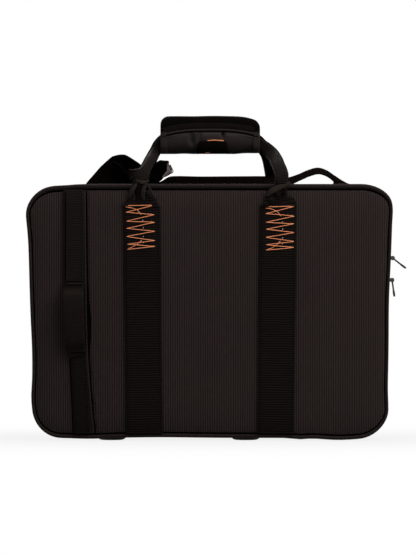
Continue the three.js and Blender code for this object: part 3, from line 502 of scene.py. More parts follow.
@look
def trim_cloth(made):
    return ribbed(made, darker(colours().binding, 0.55), 1.8 * MM, 0.3 * MM, pick=0.7, groove=0.2,
                  sheen=0.02, gloss=0)


@look
def tab_velvet(made):
    return ribbed(made, darker(colours().velvet, 1.5), 1.4 * MM, 0.2 * MM, pick=0.9, sheen=0, gloss=0)


@look
def zip_cloth(made):
    u, v = made.lay()
    zigzag = made.wave(u + 0.9 * made.wave(v, 2.2), 1.1)
    fuzz = made.noise(900, 2)
    colour = colours().webbing
    return made.set(Base_Color=made.mix(darker(colour, 0.6), darker(colour, 1.3), zigzag),
                    Roughness=0.7 + 0.2 * fuzz, Normal=made.bump(zigzag + 0.4 * fuzz, 0.15 * MM),
                    Specular_IOR_Level=0.1, Sheen_Weight=0.04)


def pile(made, colour, sheen, gloss):
    """Short pile: soft clouds of light and a fine grain."""
    cloud = made.noise(45, 5, 0.6)
    grain = made.noise(1500, 3)
    tone = 0.35 * cloud + 0.65 * grain
    return made.set(Base_Color=made.mix(darker(colour, 0.6), darker(colour, 1.5), tone),
                    Roughness=0.8 + 0.15 * grain, Normal=made.bump(grain + 0.6 * cloud, 0.3 * MM),
                    Specular_IOR_Level=gloss, Sheen_Weight=sheen, Sheen_Roughness=0.35,
                    Sheen_Tint=COOL_TINT)


@look
def velvet(made):
    return pile(made, colours().velvet, 0.07, 0)


@look
def plush_lining(made):
    return pile(made, colours().lining, 0.12, 0.08)


@look
def moulded_tray(made):
    cloud = made.noise(60, 4)
    grain = made.noise(2200, 2)
    colour = colours().lining
    return made.set(Base_Color=made.mix(darker(colour, 0.7), darker(colour, 1.1), cloud),
                    Roughness=0.6 + 0.2 * grain, Normal=made.bump(grain, 0.08 * MM),
                    Specular_IOR_Level=0.3)


@look
def flap_cloth(made):
    """Close smooth nylon with a soft sheen, and painted shade: darker towards its lower edge, lighter above.
    """
    u, v = made.lay()
    weave = made.wave(u, 0.8) * made.wave(v, 0.8)
    cloud = made.noise(70, 4)
    colour = colours().binding
    # Painted shade: below this height band the cloth fades to a darker colour.
    painted_light = made.ramp((WRAP_BOTTOM + 1.5) * MM, (WRAP_BOTTOM + 13.5) * MM)
    cloth = made.mix(darker(colour, 0.8), darker(colour, 2.3), 0.5 * weave + 0.5 * cloud)
    return made.set(Base_Color=made.mix(darker(colour, 0.3), cloth, 0.12 + 0.88 * painted_light),
                    Roughness=0.5 + 0.25 * cloud, Normal=made.bump(weave + cloud, 0.15 * MM),
                    Specular_IOR_Level=0.08, Sheen_Weight=0.04, Sheen_Roughness=0.5)


def thread(made, colour, sheen, gloss=0.35):
    """Twisted thread: darker and lighter strands."""
    strands = made.noise(2600, 2, 0.7)
    cloud = made.noise(160, 3)
    tone = 0.55 * strands + 0.45 * cloud
    return made.set(Base_Color=made.mix(darker(colour, 0.62), darker(colour, 1.25), tone),
                    Roughness=0.45 + 0.3 * strands, Normal=made.bump(strands, 0.12 * MM),
                    Specular_IOR_Level=gloss, Sheen_Weight=sheen)


@look
def bar_thread(made):
    return thread(made, colours().bar_thread, 0.1)


@look
def pale_bar_thread(made):
    return thread(made, tuple(0.55 * c + 0.3 for c in colours().bar_thread), 0.1)


# Near-black thread, darker than the cloth: its own dark colour, and painted shade along the stitch rows.
@look
def dark_thread(made):
    return thread(made, colours().dark_thread, 0, 0.03)


def plated(made, colour, roughness, wear):
    """Plated metal, with brushed grain and dull spots of wear."""
    grain = made.noise(1400, 2)
    spots = made.noise(260, 5, 0.65)
    wear_and_shade = spots ** 3
    return made.set(Base_Color=made.mix(colour, darker(colour, wear), wear_and_shade),
                    Roughness=roughness + 0.25 * wear_and_shade + 0.08 * grain, Metallic=0.96,
                    Normal=made.bump(grain, 0.02 * MM))


@look
def plated_metal(made):
    return plated(made, colours().metal, 0.28, 0.6)


@look
def dark_plated_metal(made):
    return plated(made, darker(colours().metal, 0.12), 0.34, 2.2)


@look
def coil_plastic(made):
    grain = made.noise(900, 2)
    colour = colours().rubber
    return made.set(Base_Color=made.mix(darker(colour, 0.7), darker(colour, 1.6), grain),
                    Roughness=0.34 + 0.2 * grain, Normal=made.bump(grain, 0.03 * MM),
                    Specular_IOR_Level=0.5)


@look
def foot_rubber(made):
    grain = made.noise(1100, 3)
    scuffs = made.noise(120, 5, 0.7) ** 3
    colour = colours().rubber
    return made.set(Base_Color=made.mix(colour, SCUFFED_RUBBER, scuffs),
                    Roughness=0.55 + 0.25 * scuffs, Normal=made.bump(grain, 0.06 * MM),
                    Specular_IOR_Level=0.04)


# Shapes


class Shape:
    """Points, faces and fabric coordinates of a mesh, in millimetres."""

    def __init__(self):
        self.points = []
        self.faces = []
        self.lays = []

    def add(self, points, faces, lays=None):
        base = len(self.points)
        self.points.extend(tuple(p) for p in points)
        for i, face in enumerate(faces):
            self.faces.append([base + n for n in face])
            self.lays.append(lays[i] if lays else [(0.0, 0.0)] * len(face))
        return self

    def join(self, other):
        """Adds another shape to this one."""
        return self.add(other.points, other.faces, other.lays)

    def skin(self, rows, closed=False, ends=True, around=None, along=None, ribs="around"):
        """A skin over rows of closed outlines. Ribs says which way the first fabric coordinate runs."""
        rows = np.asarray(rows, float)
        count, size = rows.shape[:2]
        if around is None:
            around = lengths(ringed(rows[0]))
        elif len(around) == size:
            around = [*around, around[0]]
        if along is None:
            middle = rows.mean(1) if ribs == "along" else rows[:, 0]
            along = lengths(ringed(middle) if closed else middle)
        faces, lays = [], []
        for i in range(count if closed else count - 1):
            here, there = i * size, (i + 1) % count * size
            for j in range(size):
                k = (j + 1) % size
                faces.append((here + j, here + k, there + k, there + j))
                corners = [(around[j], along[i]), (around[j + 1], along[i]),
                           (around[j + 1], along[i + 1]), (around[j], along[i + 1])]
                lays.append([(b, a) for a, b in corners] if ribs == "along" else corners)
        if ends and not closed:
            faces += [tuple(range(size))[::-1], tuple(range((count - 1) * size, count * size))]
            lays += [[(0.0, 0.0)] * size] * 2
        return self.add(rows.reshape(-1, 3), faces, lays)

    def lay_flat(self, first=0, second=2):
        """Takes the fabric coordinates from two of the axes, as for cloth that lies in a plane."""
        self.lays = [[(self.points[n][first], self.points[n][second]) for n in face] for face in self.faces]
        return self

    def make(self, name, material, body, slot=None, replaces=(), sharp=40, blend=None):
        mesh = bpy.data.meshes.new(name)
        points = np.array(self.points) * MM + np.array([MIDDLE_X, 0, 0])
        mesh.from_pydata(points.tolist(), [], self.faces)
        layer = mesh.uv_layers.new(name="lay")
        layer.data.foreach_set("uv", [n for face in self.lays for corner in face for n in corner])
        face_outwards(mesh)
        mesh.shade_smooth()
        mesh.set_sharp_from_angle(angle=math.radians(sharp))
        made = bpy.data.objects.new(name, mesh)
        bpy.context.scene.collection.objects.link(made)
        made.data.materials.append(material())
        if blend:
            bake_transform(made)
        else:
            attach(made, body)
        if replaces:
            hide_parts(*replaces)
        return made


def face_outwards(mesh):
    shell = bmesh.new()
    shell.from_mesh(mesh)
    bmesh.ops.recalc_face_normals(shell, faces=shell.faces)
    shell.to_mesh(mesh)
    shell.free()


def lengths(points):
    """Distance run along points, from 0."""
    steps = np.linalg.norm(np.diff(np.asarray(points, float), axis=0), axis=1)
    return np.concatenate([[0], np.cumsum(steps)])


def ringed(points):
    """Points with the first one again at the end."""
    return np.vstack([points, points[:1]])


def read_at(at, run, points):
    """Points on a path, at distances run along it."""
    return np.stack([np.interp(at, run, points[:, k]) for k in range(3)], 1)


def at_depth(flat, y):
    """Places across and up, put at a depth."""
    return np.stack([flat[:, 0], np.full(len(flat), float(y)), flat[:, 1]], 1)


def humps(value, *each):
    """The sum of rounded humps, each given by its middle, its spread and its height."""
    return sum(height * np.exp(-((value - middle) / spread) ** 2) for middle, spread, height in each)


def half_width_at(z):
    return BOTTOM_WIDTH / 2 + HALF_DIFFERENCE * (z - BODY_BOTTOM) / BODY_HEIGHT


def between(a, b, share):
    return a + (b - a) * share


def corner_arcs(inset):
    """The four corner arcs of the body's outline, anticlockwise from the lower right."""
    arcs = []
    for radius, start, end, side, top in (
        (BOTTOM_RADIUS, -math.pi / 2, -LEAN, 1, False),
        (TOP_RADIUS, -LEAN, math.pi / 2, 1, True),
        (TOP_RADIUS, math.pi / 2, math.pi + LEAN, -1, True),
        (BOTTOM_RADIUS, math.pi + LEAN, 1.5 * math.pi, -1, False),
    ):
        inner = max(radius - inset, radius / 6)
        reach = inset + inner
        z = BODY_TOP - reach if top else BODY_BOTTOM + reach
        x = side * (half_width_at(z) - reach / math.cos(LEAN))
        angles = np.linspace(start, end, ARC_STEPS + 1)
        arcs.append(np.stack([x + inner * np.cos(angles), z + inner * np.sin(angles)], 1))
    return arcs


def filled(a, b, steps):
    """Points strictly between two, at even shares."""
    shares = np.linspace(0, 1, steps + 1)[1:-1, None]
    return a + (b - a) * shares


# How the stuffed body bulges at its sides, by height, and sags at its top and bottom edge, by place across:
# middle, spread and amount of each hump. Each sort fades in over a length from the line where it starts.
LEFT_BULGES = ((238, 22, 2), (44, 15, 1.4), (94, 30, -0.8))
RIGHT_BULGES = ((254, 14.3, 3.8), (145, 40, -1.1), (31, 16, 1.3))
TOP_SAG = (-156, 15, 1.6)
BOTTOM_SAGS = ((-125, 20, 0.9), (-50, 45, -0.7), (92, 9, 1.3), (133, 24, 2.1))
SIDE_START = 130
TOP_START = 215
BOTTOM_START = 50
FADE = 40


def settled(flat):
    """The outline's small sag: the corners droop and bulge, and the bottom edge waves."""
    x, z = flat[:, 0], flat[:, 1]
    side = np.clip((np.abs(x) - SIDE_START) / FADE, 0, 1) * np.where(x < 0, -1, 1)
    bulge = np.where(x < 0, humps(z, *LEFT_BULGES), humps(z, *RIGHT_BULGES))
    droop = humps(x, TOP_SAG) * np.clip((z - TOP_START) / FADE, 0, 1)
    low = humps(x, *BOTTOM_SAGS) * np.clip((BOTTOM_START - z) / FADE, 0, 1)
    return np.stack([x + bulge * side, z - droop - low], 1)


def outline(inset, y):
    """The closed outline of the body at a depth, drawn in by an inset."""
    arcs = corner_arcs(inset)
    points = []
    for i, arc in enumerate(arcs):
        following = arcs[(i + 1) % 4]
        steps = SIDE_STEPS if i % 2 == 0 else WIDE_STEPS
        points += [arc, filled(arc[-1], following[0], steps)]
    return at_depth(settled(np.vstack(points)), y)


# Shares by which the cord is drawn in on each side
DRAWN_RIGHT = 0.4
DRAWN_LEFT = 0.34
DRAWN_TOP = 0.05
DRAWN_BOTTOM = 0.22


def snug(inset, y, drawn=None):
    """The outline where the edge cord is drawn in: it is narrower at the sides and under the case. Drawn is
    the part of the inset that shrinks with the cord."""
    way = outline(1, y) - outline(0, y)
    across, up = way[:, 0] ** 2, way[:, 2] ** 2
    share = (across * np.where(way[:, 0] < 0, DRAWN_RIGHT, DRAWN_LEFT)
             + up * np.where(way[:, 2] < 0, DRAWN_TOP, DRAWN_BOTTOM))
    return outline(inset, y) - way * (share * (inset if drawn is None else drawn))[:, None]


def arch(inset, y):
    """The open path up the right side, over the top and down the left side."""
    _, right, left, _ = corner_arcs(inset)
    end_z = BODY_BOTTOM + BOTTOM_RADIUS + ZIP_END_RISE
    end_x = half_width_at(end_z) - inset / math.cos(LEAN)
    start, end = np.array([end_x, end_z]), np.array([-end_x, end_z])
    flat = np.vstack([start[None], filled(start, right[0], SIDE_STEPS), right,
                      filled(right[-1], left[0], WIDE_STEPS), left,
                      filled(left[-1], end, SIDE_STEPS), end[None]])
    return at_depth(settled(flat), y)


def crown_at(distance):
    """Height of the padded panel over its edge plane."""
    return CROWN_HEIGHT * (1 - math.exp(-max(distance - PANEL_INSET, 0) / CROWN_FADE))


def unit(vector):
    vector = np.asarray(vector, float)
    return vector / np.linalg.norm(vector)


def smooth_path(points, steps):
    """A centripetal Catmull-Rom curve through points, with as many steps for each span."""
    points = np.asarray(points, float)
    padded = np.vstack([2 * points[0] - points[1], points, 2 * points[-1] - points[-2]])
    found = []
    for i in range(len(points) - 1):
        p0, p1, p2, p3 = padded[i:i + 4]
        d0, d1, d2 = (max(np.linalg.norm(b - a), 1e-6) ** 0.5 for a, b in ((p0, p1), (p1, p2), (p2, p3)))
        t1 = ((p1 - p0) / d0 - (p2 - p0) / (d0 + d1) + (p2 - p1) / d1) * d1
        t2 = ((p2 - p1) / d1 - (p3 - p1) / (d1 + d2) + (p3 - p2) / d2) * d1
        for s in np.linspace(0, 1, steps, endpoint=False):
            found.append(p1 + t1 * s + (3 * (p2 - p1) - 2 * t1 - t2) * s ** 2
                         + (2 * (p1 - p2) + t1 + t2) * s ** 3)
    return np.array([*found, points[-1]])


def spread_values(values, steps):
    """Values for each point of a smooth path, eased between the keys."""
    values = np.asarray(values, float)
    shares = np.linspace(0, len(values) - 1, (len(values) - 1) * steps + 1)
    low = np.minimum(shares.astype(int), len(values) - 2)
    part = (shares - low).reshape(-1, *[1] * (values.ndim - 1))
    return values[low] * (1 - part) + values[low + 1] * part


def frames(path, across=None, faces=None):
    """Along, across and up directions at each point of a path."""
    path = np.asarray(path, float)
    along = np.gradient(path, axis=0)
    along /= np.linalg.norm(along, axis=1)[:, None]
    if across is None:
        across = np.cross(np.broadcast_to(faces, path.shape), along)
    across = across - along * (across * along).sum(1)[:, None]
    across /= np.linalg.norm(across, axis=1)[:, None]
    return along, across, np.cross(along, across)


def flat_section(width, thickness, steps=8):
    """Section of webbing with rounded edges: points (across, up)."""
    radius = thickness / 2
    flat = np.linspace(radius - width / 2, width / 2 - radius, steps + 1)
    top = [(a, radius) for a in flat[::-1]]
    bottom = [(a, -radius) for a in flat]
    turn = [(math.cos(t) * radius, math.sin(t) * radius) for t in np.radians([-45, 0, 45])]
    right = [(width / 2 - radius + a, b) for a, b in turn]
    left = [(radius - width / 2 - a, -b) for a, b in turn]
    return np.array([*bottom, *right, *top, *left])


def swept(path, sections, across=None, faces=None, closed=False):
    """Sweeps one section, or one for each point, along a path. Returns a Shape with ribs across the path."""
    _, side, up = frames(path, across, faces)
    if np.ndim(sections) == 2:
        sections = np.broadcast_to(sections, (len(path), *np.shape(sections)))
    rows = path[:, None] + sections[:, :, :1] * side[:, None] + sections[:, :, 1:] * up[:, None]
    return Shape().skin(rows, closed=closed, around=list(sections[0][:, 0]), along=lengths(path),
                        ribs="along")


def round_section(radius, sides=12, flatten=1):
    angles = np.linspace(0, 2 * math.pi, sides, endpoint=False)
    return np.stack([radius * np.cos(angles), flatten * radius * np.sin(angles)], 1)


def tube(points, radius, sides=12, closed=False, flatten=1):
    """A round tube along points, with no twist from point to point."""
    points = np.asarray(points, float)
    ring = np.vstack([points[-1:], points, points[:1]]) if closed else points
    along = np.gradient(ring, axis=0)[1:-1] if closed else np.gradient(ring, axis=0)
    along /= np.linalg.norm(along, axis=1)[:, None] + 1e-12
    side = unit(np.cross(along[0], (0.31, 0.87, 0.38)))
    rows = []
    section = round_section(radius, sides, flatten)
    for point, way in zip(points, along):
        side = unit(side - way * np.dot(side, way))
        up = np.cross(way, side)
        rows.append(point + section[:, :1] * side + section[:, 1:] * up)
    shape = Shape()
    return shape.skin(rows, closed=closed, around=list(section[:, 0]), ribs="along",
                      along=lengths(ringed(points) if closed else points))


def resample(path, spacing):
    """Points at even distances along a path, and the directions there."""
    run = lengths(path)
    count = max(int(run[-1] / spacing), 1)
    at = (np.arange(count) + 0.5) * run[-1] / count
    way = read_at(np.minimum(at + 0.5, run[-1]), run, path) - read_at(np.maximum(at - 0.5, 0), run, path)
    return read_at(at, run, path), way / np.linalg.norm(way, axis=1)[:, None]


def stitches(*paths, pitch=None, length=None, radius=None):
    """Rows of stitches. Each is a short thread that dips into the cloth at both ends."""
    pitch = pitch or sizes().stitch_pitch / MM
    length = length or sizes().stitch_length / MM
    radius = radius or sizes().thread_radius / MM
    shape = Shape()
    for path in paths:
        for point, way in zip(*resample(np.asarray(path, float), pitch)):
            side = unit(np.cross(way, (0.2, 0.9, 0.39)))
            up = np.cross(way, side)
            rows = []
            for share, swell in ((-0.5, 0.35), (-0.32, 0.95), (0, 1.1), (0.32, 0.95), (0.5, 0.35)):
                section = round_section(radius * swell, 6)
                rows.append(point + way * share * length + section[:, :1] * side + section[:, 1:] * up)
            shape.skin(rows)
    return shape


def refined(node, material, body, bevel=0.25, levels=0):
    """A copy of a packed fitting with its edges rounded."""
    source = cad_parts[node]
    mesh = source.data.copy()
    name = node + "_fitting"
    made = bpy.data.objects.new(name, mesh)
    bpy.context.scene.collection.objects.link(made)
    weld = made.modifiers.new("weld", "WELD")
    weld.merge_threshold = 0.002 * MM
    if bevel:
        edge = made.modifiers.new("edge", "BEVEL")
        edge.width = bevel * MM
        edge.segments = 2
        edge.limit_method = "ANGLE"
        edge.angle_limit = math.radians(35)
    if levels:
        made.modifiers.new("round", "SUBSURF").levels = levels
    bpy.context.view_layer.update()
    final = bpy.data.meshes.new_from_object(made.evaluated_get(bpy.context.evaluated_depsgraph_get()))
    made.modifiers.clear()
    made.data = final
    final.materials.clear()
    final.materials.append(material())
    final.shade_smooth()
    final.set_sharp_from_angle(angle=math.radians(35))
    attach(made, body)
    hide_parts(node)
    return made


# Panels and edges


# Where a panel's rows lie, in from its edge. The lip at the edge lies lower, and the crown starts further in.
PANEL_RUNS = (0.3, 0.9, 1.8, 3.2, 5, 7.5, 10.5, 14, 19, 25, 34, 48, 64, 82, 100, 114)
PANEL_LIP = 0.9
CROWN_LAG = 1.2
DRAWN_REACH = 60


def panel(name, node, depth, sign, body):
    """A padded panel of ribbed nylon."""
    plane = depth - CROWN_HEIGHT
    rows = [snug(PANEL_EDGE, sign * (plane - PANEL_BACK)), snug(PANEL_EDGE, sign * (plane - PANEL_LIP))]
    for run in PANEL_RUNS:
        rows.append(snug(PANEL_EDGE + run, sign * (plane + crown_at(PANEL_EDGE + run - CROWN_LAG)),
                         PANEL_EDGE * max(0, 1 - run / DRAWN_REACH)))
    made = Shape().skin(rows).lay_flat().make(name, ribbed_nylon, body, "nylon", [node], 50)


# The turned edge beside the zip: how far it stands out, and its distance from the zip
TURNED_EDGE = ((0.1, 4.5), (0.45, 4), (0.5, 0.7), (0.1, 0))
# The two rows of stitches on the side: how far each stands out, and its distance from the cloth's edge
ZIP_SEAM = (0.55, 2.2)
CORD_SEAM = (0.1, 2)


def gusset(prefix, depth, sign, body):
    """The fabric side of one half, with a turned and stitched edge beside the zip."""
    edge = depth - CROWN_HEIGHT - PANEL_BACK - TOUCH
    start = TAPE_WIDTH + TOUCH
    inner = GUSSET_INSET + GUSSET_THICKNESS
    section = [(inner, edge), (GUSSET_INSET, edge)]
    section += [(GUSSET_INSET, between(edge, start, s)) for s in (0.25, 0.5, 0.75)]
    section += [(GUSSET_INSET - out, start + run) for out, run in TURNED_EDGE]
    section.append((inner, start))
    rows = [outline(inset, sign * y) for inset, y in section]
    Shape().skin(rows, closed=True).make(
        prefix + "_side_cloth", gusset_nylon, body, "nylon", [prefix + "_gusset"])
    seam = outline(GUSSET_INSET - ZIP_SEAM[0], sign * (start + ZIP_SEAM[1]))
    far_seam = outline(GUSSET_INSET - CORD_SEAM[0], sign * (edge - CORD_SEAM[1]))
    stitches(ringed(seam), ringed(far_seam)).make(prefix + "_side_stitches", dark_thread, body)


# The flange: how far it runs under the cord and past the panel's edge, and its two faces below the cord's
# middle
FLANGE_LAP = 0.6
FLANGE_REACH = 0.8
FLANGE_LOW = 2
FLANGE_HIGH = 1.3


def piping(prefix, depth, sign, body):
    """Covered cord round the edge, with the flat flange that is sewn under the panel."""
    y = depth - CROWN_HEIGHT - PANEL_BACK + PIPING_RADIUS
    rows = []
    for angle in np.linspace(0, 2 * math.pi, 14, endpoint=False):
        rows.append(snug(PIPING_RADIUS + PIPING_RADIUS * math.cos(angle),
                         sign * (y + PIPING_RADIUS * math.sin(angle))))
    Shape().skin(rows, closed=True).make(
        prefix + "_covered_cord", piping_nylon, body, "piping", [prefix + "_piping"])
    start, end = 2 * PIPING_RADIUS - FLANGE_LAP, PANEL_EDGE + FLANGE_REACH
    low, high = y - FLANGE_LOW, y - FLANGE_HIGH
    flange = [(start, low), (end, low), (end, high), (start, high)]
    # The flange is near black: painted shade in the groove between the cord and the panel.
    Shape().skin([snug(inset, sign * place) for inset, place in flange], closed=True).make(
        prefix + "_cord_flange", flange_nylon, body)


# Zip


COIL_WIRE = 0.42
COIL_SINK = 0.15
# One turn of each coil: place across the zip and rise over the tape. On the case, where the last value is 1,
# the rise is counted from the coil's small waves.
CASE_TURN = ((2.9, -0.25, 0), (2.2, 0, 1), (0.9, 0.2, 1), (0.12, 0, 1), (0.12, -0.25, 0), (1.4, -0.3, 0))
POCKET_TURN = ((-1.4, -0.3), (-0.9, 0.3), (0.4, 0.45), (1.2, 0.2), (1.3, -0.4))


def zip_half(prefix, sign, body):
    """Tape and coil of one half."""
    inner = GUSSET_INSET + GUSSET_THICKNESS
    outer = inner - TAPE_THICKNESS
    section = [(inner, TAPE_WIDTH), (outer, TAPE_WIDTH), (outer - 0.1, 8), (outer - 0.1, 4.2),
               (outer, TEETH_GAP / 2 + 0.2), (inner, TEETH_GAP / 2 + 0.2)]
    paths = np.array([arch(inset, sign * y) for inset, y in section])
    rows = paths.transpose(1, 0, 2)
    across = [y for _, y in section]
    Shape().skin(rows, around=across, ribs="along").make(
        prefix + "_zip_cloth", zip_cloth, body, "zip", [prefix + "_zip_tape"])
    pitch = sizes().tooth_pitch / MM
    shape = Shape()
    for i, (point, way) in enumerate(zip(*resample(arch(outer - COIL_SINK, 0), pitch))):
        point = point + way * sign * pitch / 4
        out = np.array([way[2], 0, -way[0]])
        lift = 0.1 + 0.06 * math.sin(i * 1.7)
        turn = [point + (0, sign * y, 0) + out * (rise + lift * waves) for y, rise, waves in CASE_TURN]
        shape.skin(tube_rows(turn, way, COIL_WIRE))
    shape.make(prefix + "_coil", coil_plastic, body, "zip")
    stitches(arch(outer - 0.1, sign * 3.6)).make(prefix + "_coil_stitches", dark_thread, body)


def tube_rows(points, across, radius):
    """Rows of a coarse tube whose sections share one direction across."""
    points = np.array(points)
    along = np.gradient(points, axis=0)
    along /= np.linalg.norm(along, axis=1)[:, None]
    section = round_section(radius, 5)
    side = unit(across)
    return [point + section[:, :1] * side + section[:, 1:] * unit(np.cross(way, side))
            for point, way in zip(points, along)]


def hinge_strip():
    """The fabric hinge under the case, between the two halves."""
    half = BOTTOM_WIDTH / 2 - BOTTOM_RADIUS
    z = BODY_BOTTOM + GUSSET_INSET
    ys = np.linspace(-TAPE_WIDTH, TAPE_WIDTH, 25)
    xs = np.linspace(-half, half, 60)
    low = [np.array([(x, y, z + 0.12 * math.cos(y)) for x in xs]) for y in ys]
    high = [row + (0, 0, GUSSET_THICKNESS - 0.2) for row in low]
    rows = [np.vstack([a, b[::-1]]) for a, b in zip(low, high)]
    shape = Shape().skin(rows).lay_flat(0, 1)
    shape.make("hinge_cloth", gusset_nylon, None, "nylon", ["base_hinge_tape", "lid_hinge_tape"], 50,
               blend=("root", "lid", (0, -6 * MM, 5 * MM), (0, 6 * MM, 5 * MM)))


# Webbing on the panels


def spread_at(z):
    return between(STRAP_SPREAD_BOTTOM, STRAP_SPREAD_TOP, (z - BODY_BOTTOM) / BODY_HEIGHT)


def inset_of(sign, direction):
    """The right rear band stands closer to the middle than the front one."""
    return REAR_STRAP_INSET if sign > 0 and direction > 0 else 0


# The narrow band and its seam, as seen in the photograph: height, the band's middle and half width, and the
# seam's place across
NARROW = np.array([
    (3, -131.4, 8.6, -117.8), (42, -133.2, 8.5, -121.4), (73, -134.8, 8.4, -123.8),
    (86, -135.6, 8.5, -124.6), (98, -138.8, 10.3, -125.1), (120, -140.2, 10.7, -125.7),
    (145, -140.6, 10.8, -126.1), (197, -140.6, 10.8, -126.6), (265, -140.6, 10.6, -127.3),
])


def narrow(z, column):
    return float(np.interp(z, NARROW[:, 0], NARROW[:, column]))


def narrow_x(z):
    return narrow(z, 1)


def narrow_half(z):
    return narrow(z, 2)


def on_panel(depth, sign, z, lift):
    """Y of something that lies on a panel at a height, lifted off it."""
    distance = min(z - BODY_BOTTOM, BODY_TOP - z)
    return sign * (depth - CROWN_HEIGHT + crown_at(distance) + lift)


def band_path(depth, sign, x_at, z0, z1, lift, steps=70):
    return np.array([(x_at(z), on_panel(depth, sign, z, lift), z) for z in np.linspace(z0, z1, steps)])


def panel_band(name, node, depth, sign, half_at, x_at, top, body, weave):
    """Webbing sewn down a panel, with a stitch row near each edge."""
    low = BODY_BOTTOM + STRAP_END_RISE - 0.8
    path = band_path(depth, sign, x_at, low, top, TOUCH + WEBBING_THICKNESS / 2)
    sections = np.array([flat_section(2 * half_at(z), WEBBING_THICKNESS) for z in path[:, 2]])
    swept(path, sections, faces=(0, sign, 0)).make(name, weave, body, "webbing", [node])
    lift = TOUCH + WEBBING_THICKNESS + 0.12
    rows = [band_path(depth, sign, lambda z, s=side: x_at(z) + s * (half_at(z) - 2.2), low + 1, top - 1, lift)
            for side in (-1, 1)]
    stitches(*rows).make(name + "_stitches", dark_thread, body)


# The bar stitching at the top of the front bands, as seen in the photograph: middle, width, drift to the
# right on the way down, and the heights of the turns, which lie at the left and the right edge by turns
BARS = {
    "left": (-72.2, 29.2, 0.03, (242.4, 242.8, 235.6, 233.1, 226.4, 225.5, 219.1, 216.1, 210.8, 206.4,
                                 202.8, 200.7, 197.4)),
    "right": (72.2, 29.2, 0, (241.1, 241.6, 234.2, 231.9, 225.3, 223.9, 218.2, 214.9, 210, 205.3,
                              202.1, 199.4, 196.7)),
}
# Each tie runs in from the end of the bars: share of their width and distance from the end. Knots lie below
# the top.
TOP_TIE = ((-0.5, 1.3), (-0.25, 2.4), (-0.1, 4.6), (0.04, 9.6))
BOTTOM_TIE = ((-0.48, 0.3), (-0.31, 2.2), (-0.1, 5.6), (0.02, 9.6))
KNOT_FALLS = (14.4, 22, 31, 37)


def bar_stitching(side):
    """Zigzag bars in coloured thread, with a slanting tie over each end and a few pale knots between."""
    middle, width, drift, heights = BARS[side]
    rng = random.Random(5 if side == "left" else 9)
    y = -(BASE_DEPTH + TOUCH + WEBBING_THICKNESS + 0.2)
    top, bottom = heights[0], heights[-1]

    def point(share, z):
        x = middle + width * share + drift * (top - z)
        return np.array((x + rng.uniform(-0.3, 0.3), y, z + rng.uniform(-0.2, 0.2)))

    zigzag = [point(-0.5 if i % 2 == 0 else 0.5, z) for i, z in enumerate(heights)]
    ties = [[point(share, top - fall) for share, fall in TOP_TIE],
            [point(share, bottom + rise) for share, rise in BOTTOM_TIE]]
    shape = Shape()
    radius = sizes().bar_thread_radius / MM
    for line, size in ((zigzag, radius), (ties[0], 0.85 * radius), (ties[1], 0.85 * radius)):
        for a, b in zip(line[:-1], line[1:]):
            run = np.array([between(a, b, share) for share in np.linspace(0, 1, 9)])
            run[:, 1] -= 0.25 * np.sin(np.linspace(0, math.pi, 9))
            run[:, 2] += 0.18 * np.sin(np.linspace(0, math.pi * rng.choice((1, 2)), 9)) * rng.uniform(-1, 1)
            run[[0, -1], 1] += 0.6
            shape.join(tube(run, size, 8))
    shape.make(f"front_bar_stitching_{side}", bar_thread, "root")
    knots = [np.array([point(0.1, top - fall), point(0.07, top - fall - 1.6)]) for fall in KNOT_FALLS]
    stitches(*knots, pitch=2, length=1.5, radius=0.28).make(
        f"front_bar_knots_{side}", pale_bar_thread, "root")


# Width of the groove beside the narrow band, the place where it widens into the hand loop's painted shadow,
# and the dark lines of painted shade at the band's left edge: where each ends, or starts and ends, and its
# distance from the edge
SEAM_GROOVE = 1.9
LOOP_SHADOW = (122, 22, 2.4)
LOWER_SHADE_LINE = (84, -0.5)
UPPER_SHADE_LINE = (166, 256, 2.4)


def seam_strip():
    """The sewn seam beside the narrow band: a turned edge, its stitches, and the groove as a dark strip of
    painted shade, widened by the loop's painted shadow, with lines of painted shade at the band's left edge.
    """
    low, top = BODY_BOTTOM + STRAP_END_RISE, BODY_TOP - PANEL_EDGE - TOUCH

    def x_at(z):
        return narrow(z, 3)

    path = band_path(BASE_DEPTH, -1, x_at, low, top, 0.3)
    # Painted shadow: the dark strip is widened beside the hand loop.
    groove_and_shadow = SEAM_GROOVE + humps(path[:, 2], LOOP_SHADOW)
    path[:, 0] += (groove_and_shadow - SEAM_GROOVE) / 2
    groove = swept(path, np.array([flat_section(width, 0.6) for width in groove_and_shadow]), faces=(0, -1, 0))
    for start, end, offset, lift in ((low, *LOWER_SHADE_LINE, 0.4), (*UPPER_SHADE_LINE, TOUCH + WEBBING_THICKNESS)):
        line = band_path(BASE_DEPTH, -1, lambda z, o=offset: narrow_x(z) - narrow_half(z) + o,
                         start, end, lift)
        groove.join(swept(line, flat_section(1.3, 0.5), faces=(0, -1, 0)))
    groove.make("side_seam_groove", flange_nylon, "root", "nylon")
    edge = swept(band_path(BASE_DEPTH, -1, lambda z: x_at(z) - SEAM_GROOVE, low, top, 0.7),
                 flat_section(1.8, 1.1, 3), faces=(0, -1, 0))
    edge.make("side_seam_edge", gusset_nylon, "root", "nylon")
    rows = [band_path(BASE_DEPTH, -1, lambda z: x_at(z) + 2.6, low, top, 0.1)]
    stitches(*rows).make("side_seam_stitches", dark_thread, "root")


ARCH_SHARES = [(0, 0), (0.09, 0.12), (0.17, 0.8), (0.34, 1), (0.66, 1), (0.83, 0.8), (0.91, 0.12), (1, 0)]


